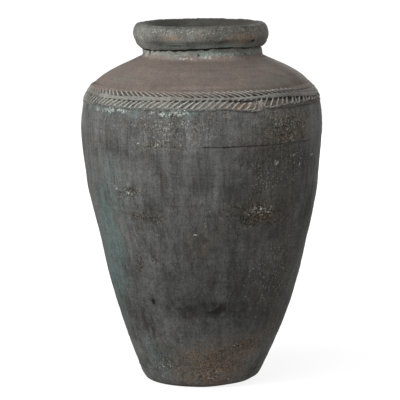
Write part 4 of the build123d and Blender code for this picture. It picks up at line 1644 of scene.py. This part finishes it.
floor_corners = [(x * HALF_FLOOR, y * HALF_FLOOR, 0) for x, y in ((-1, -1), (1, -1), (1, 1), (-1, 1))]
floor_mesh = bpy.data.meshes.new("floor")
floor_mesh.from_pydata(floor_corners, [], [(0, 1, 2, 3)])
ground = bpy.data.objects.new("floor", floor_mesh)
bpy.context.scene.collection.objects.link(ground)
pale = Finish(bpy.data.materials.new("pale floor"))
matt = pale.tree.nodes["Principled BSDF"]
for socket, value in (("Base Color", FLOOR_GREY), ("Roughness", 1.0), ("Specular IOR Level", 0.0)):
    pale.feed(matt.inputs[socket], value)
spot = pale.node("ShaderNodeTexCoord", output=3)
away = pale.node("ShaderNodeVectorMath", {"operation": "LENGTH"}, {0: spot}, output=1)
backdrop = pale.blend(away.rise(0.8, 3.0), NEAR_WHITE, WHITE)
glow = pale.node("ShaderNodeEmission", {}, {"Color": backdrop, "Strength": 1.4})
shaders = {0: 0.7 * backdrop_rays(pale), 1: Value(pale, matt.outputs[0]), 2: glow}
surface = pale.node("ShaderNodeMixShader", {}, shaders)
pale.feed(pale.tree.nodes["Material Output"].inputs["Surface"], surface)
floor_mesh.materials.append(pale.owner)
print("floor", [round(side) for side in ground.dimensions[:2]], "m wide")

# %% [markdown]
# ## Light
# One large soft lamp on the upper left models the round wall, a weaker one above lights the shoulder and
# the rim, and one behind lifts the dark side's edge. A dim even sky fills the rest. The camera sees that
# sky as plain white.

# %% Light
sky = Finish(bpy.data.worlds.new("studio"))
bpy.context.scene.world = sky.owner
dim, plain = (
    sky.node("ShaderNodeBackground", {}, {"Color": WHITE, "Strength": strength}) for strength in (0.3, 1.0)
)
surface = sky.node("ShaderNodeMixShader", {}, {0: backdrop_rays(sky), 1: dim, 2: plain})
sky.feed(sky.tree.nodes["World Output"].inputs["Surface"], surface)


def soft_lamp(name, place, aim_height, width, power):
    """Square lamp at a place, facing a height on the jar's axis: the wider it is, the softer its
    shadows."""
    lamp = bpy.data.lights.new(name, "AREA")
    lamp.shape, lamp.size, lamp.energy = "SQUARE", width, power
    holder = bpy.data.objects.new(name, lamp)
    holder.location = place
    holder.rotation_euler = (Vector((0, 0, aim_height)) - Vector(place)).to_track_quat("-Z", "Y").to_euler()
    bpy.context.scene.collection.objects.link(holder)


soft_lamp("key lamp", (-4.6, -3.1, 3.1), 0.6, 2.6, 300)
soft_lamp("back lamp", (1.4, 6.0, 1.5), 0.6, 3.0, 115)
soft_lamp("top lamp", (-0.2, -2.0, 4.7), 0.7, 2.4, 118)

# %% [markdown]
# ## Camera
# The ellipse of the mouth shows that the photograph was taken from a little above, and the foot's shows
# nearly the same angle, so the camera was far away. It stands 8 m back at a person's eye height, with a
# long lens.

# %% Camera
PITCH, DISTANCE, AIM_HEIGHT, AXIS_OFFSET = np.radians(7.481), 8.0, 0.5042, -0.0064
camera_data = bpy.data.cameras.new("camera")
camera_data.sensor_width, camera_data.lens = 36.0, 258.0
camera_data.clip_end = 200.0
camera = bpy.data.objects.new("camera", camera_data)
camera.location = (AXIS_OFFSET, -DISTANCE * np.cos(PITCH), AIM_HEIGHT + DISTANCE * np.sin(PITCH))
camera.rotation_euler = (np.pi / 2 - PITCH, 0, 0)
bpy.context.scene.collection.objects.link(camera)
bpy.context.scene.camera = camera
bpy.context.scene.view_settings.view_transform = "Standard"
print("camera at", [round(c, 3) for c in camera.location])

# %% [markdown]
# ## Size of the dressed jar
# The dressed jar may stand out from the CAD by a few millimetres of relief and no more.
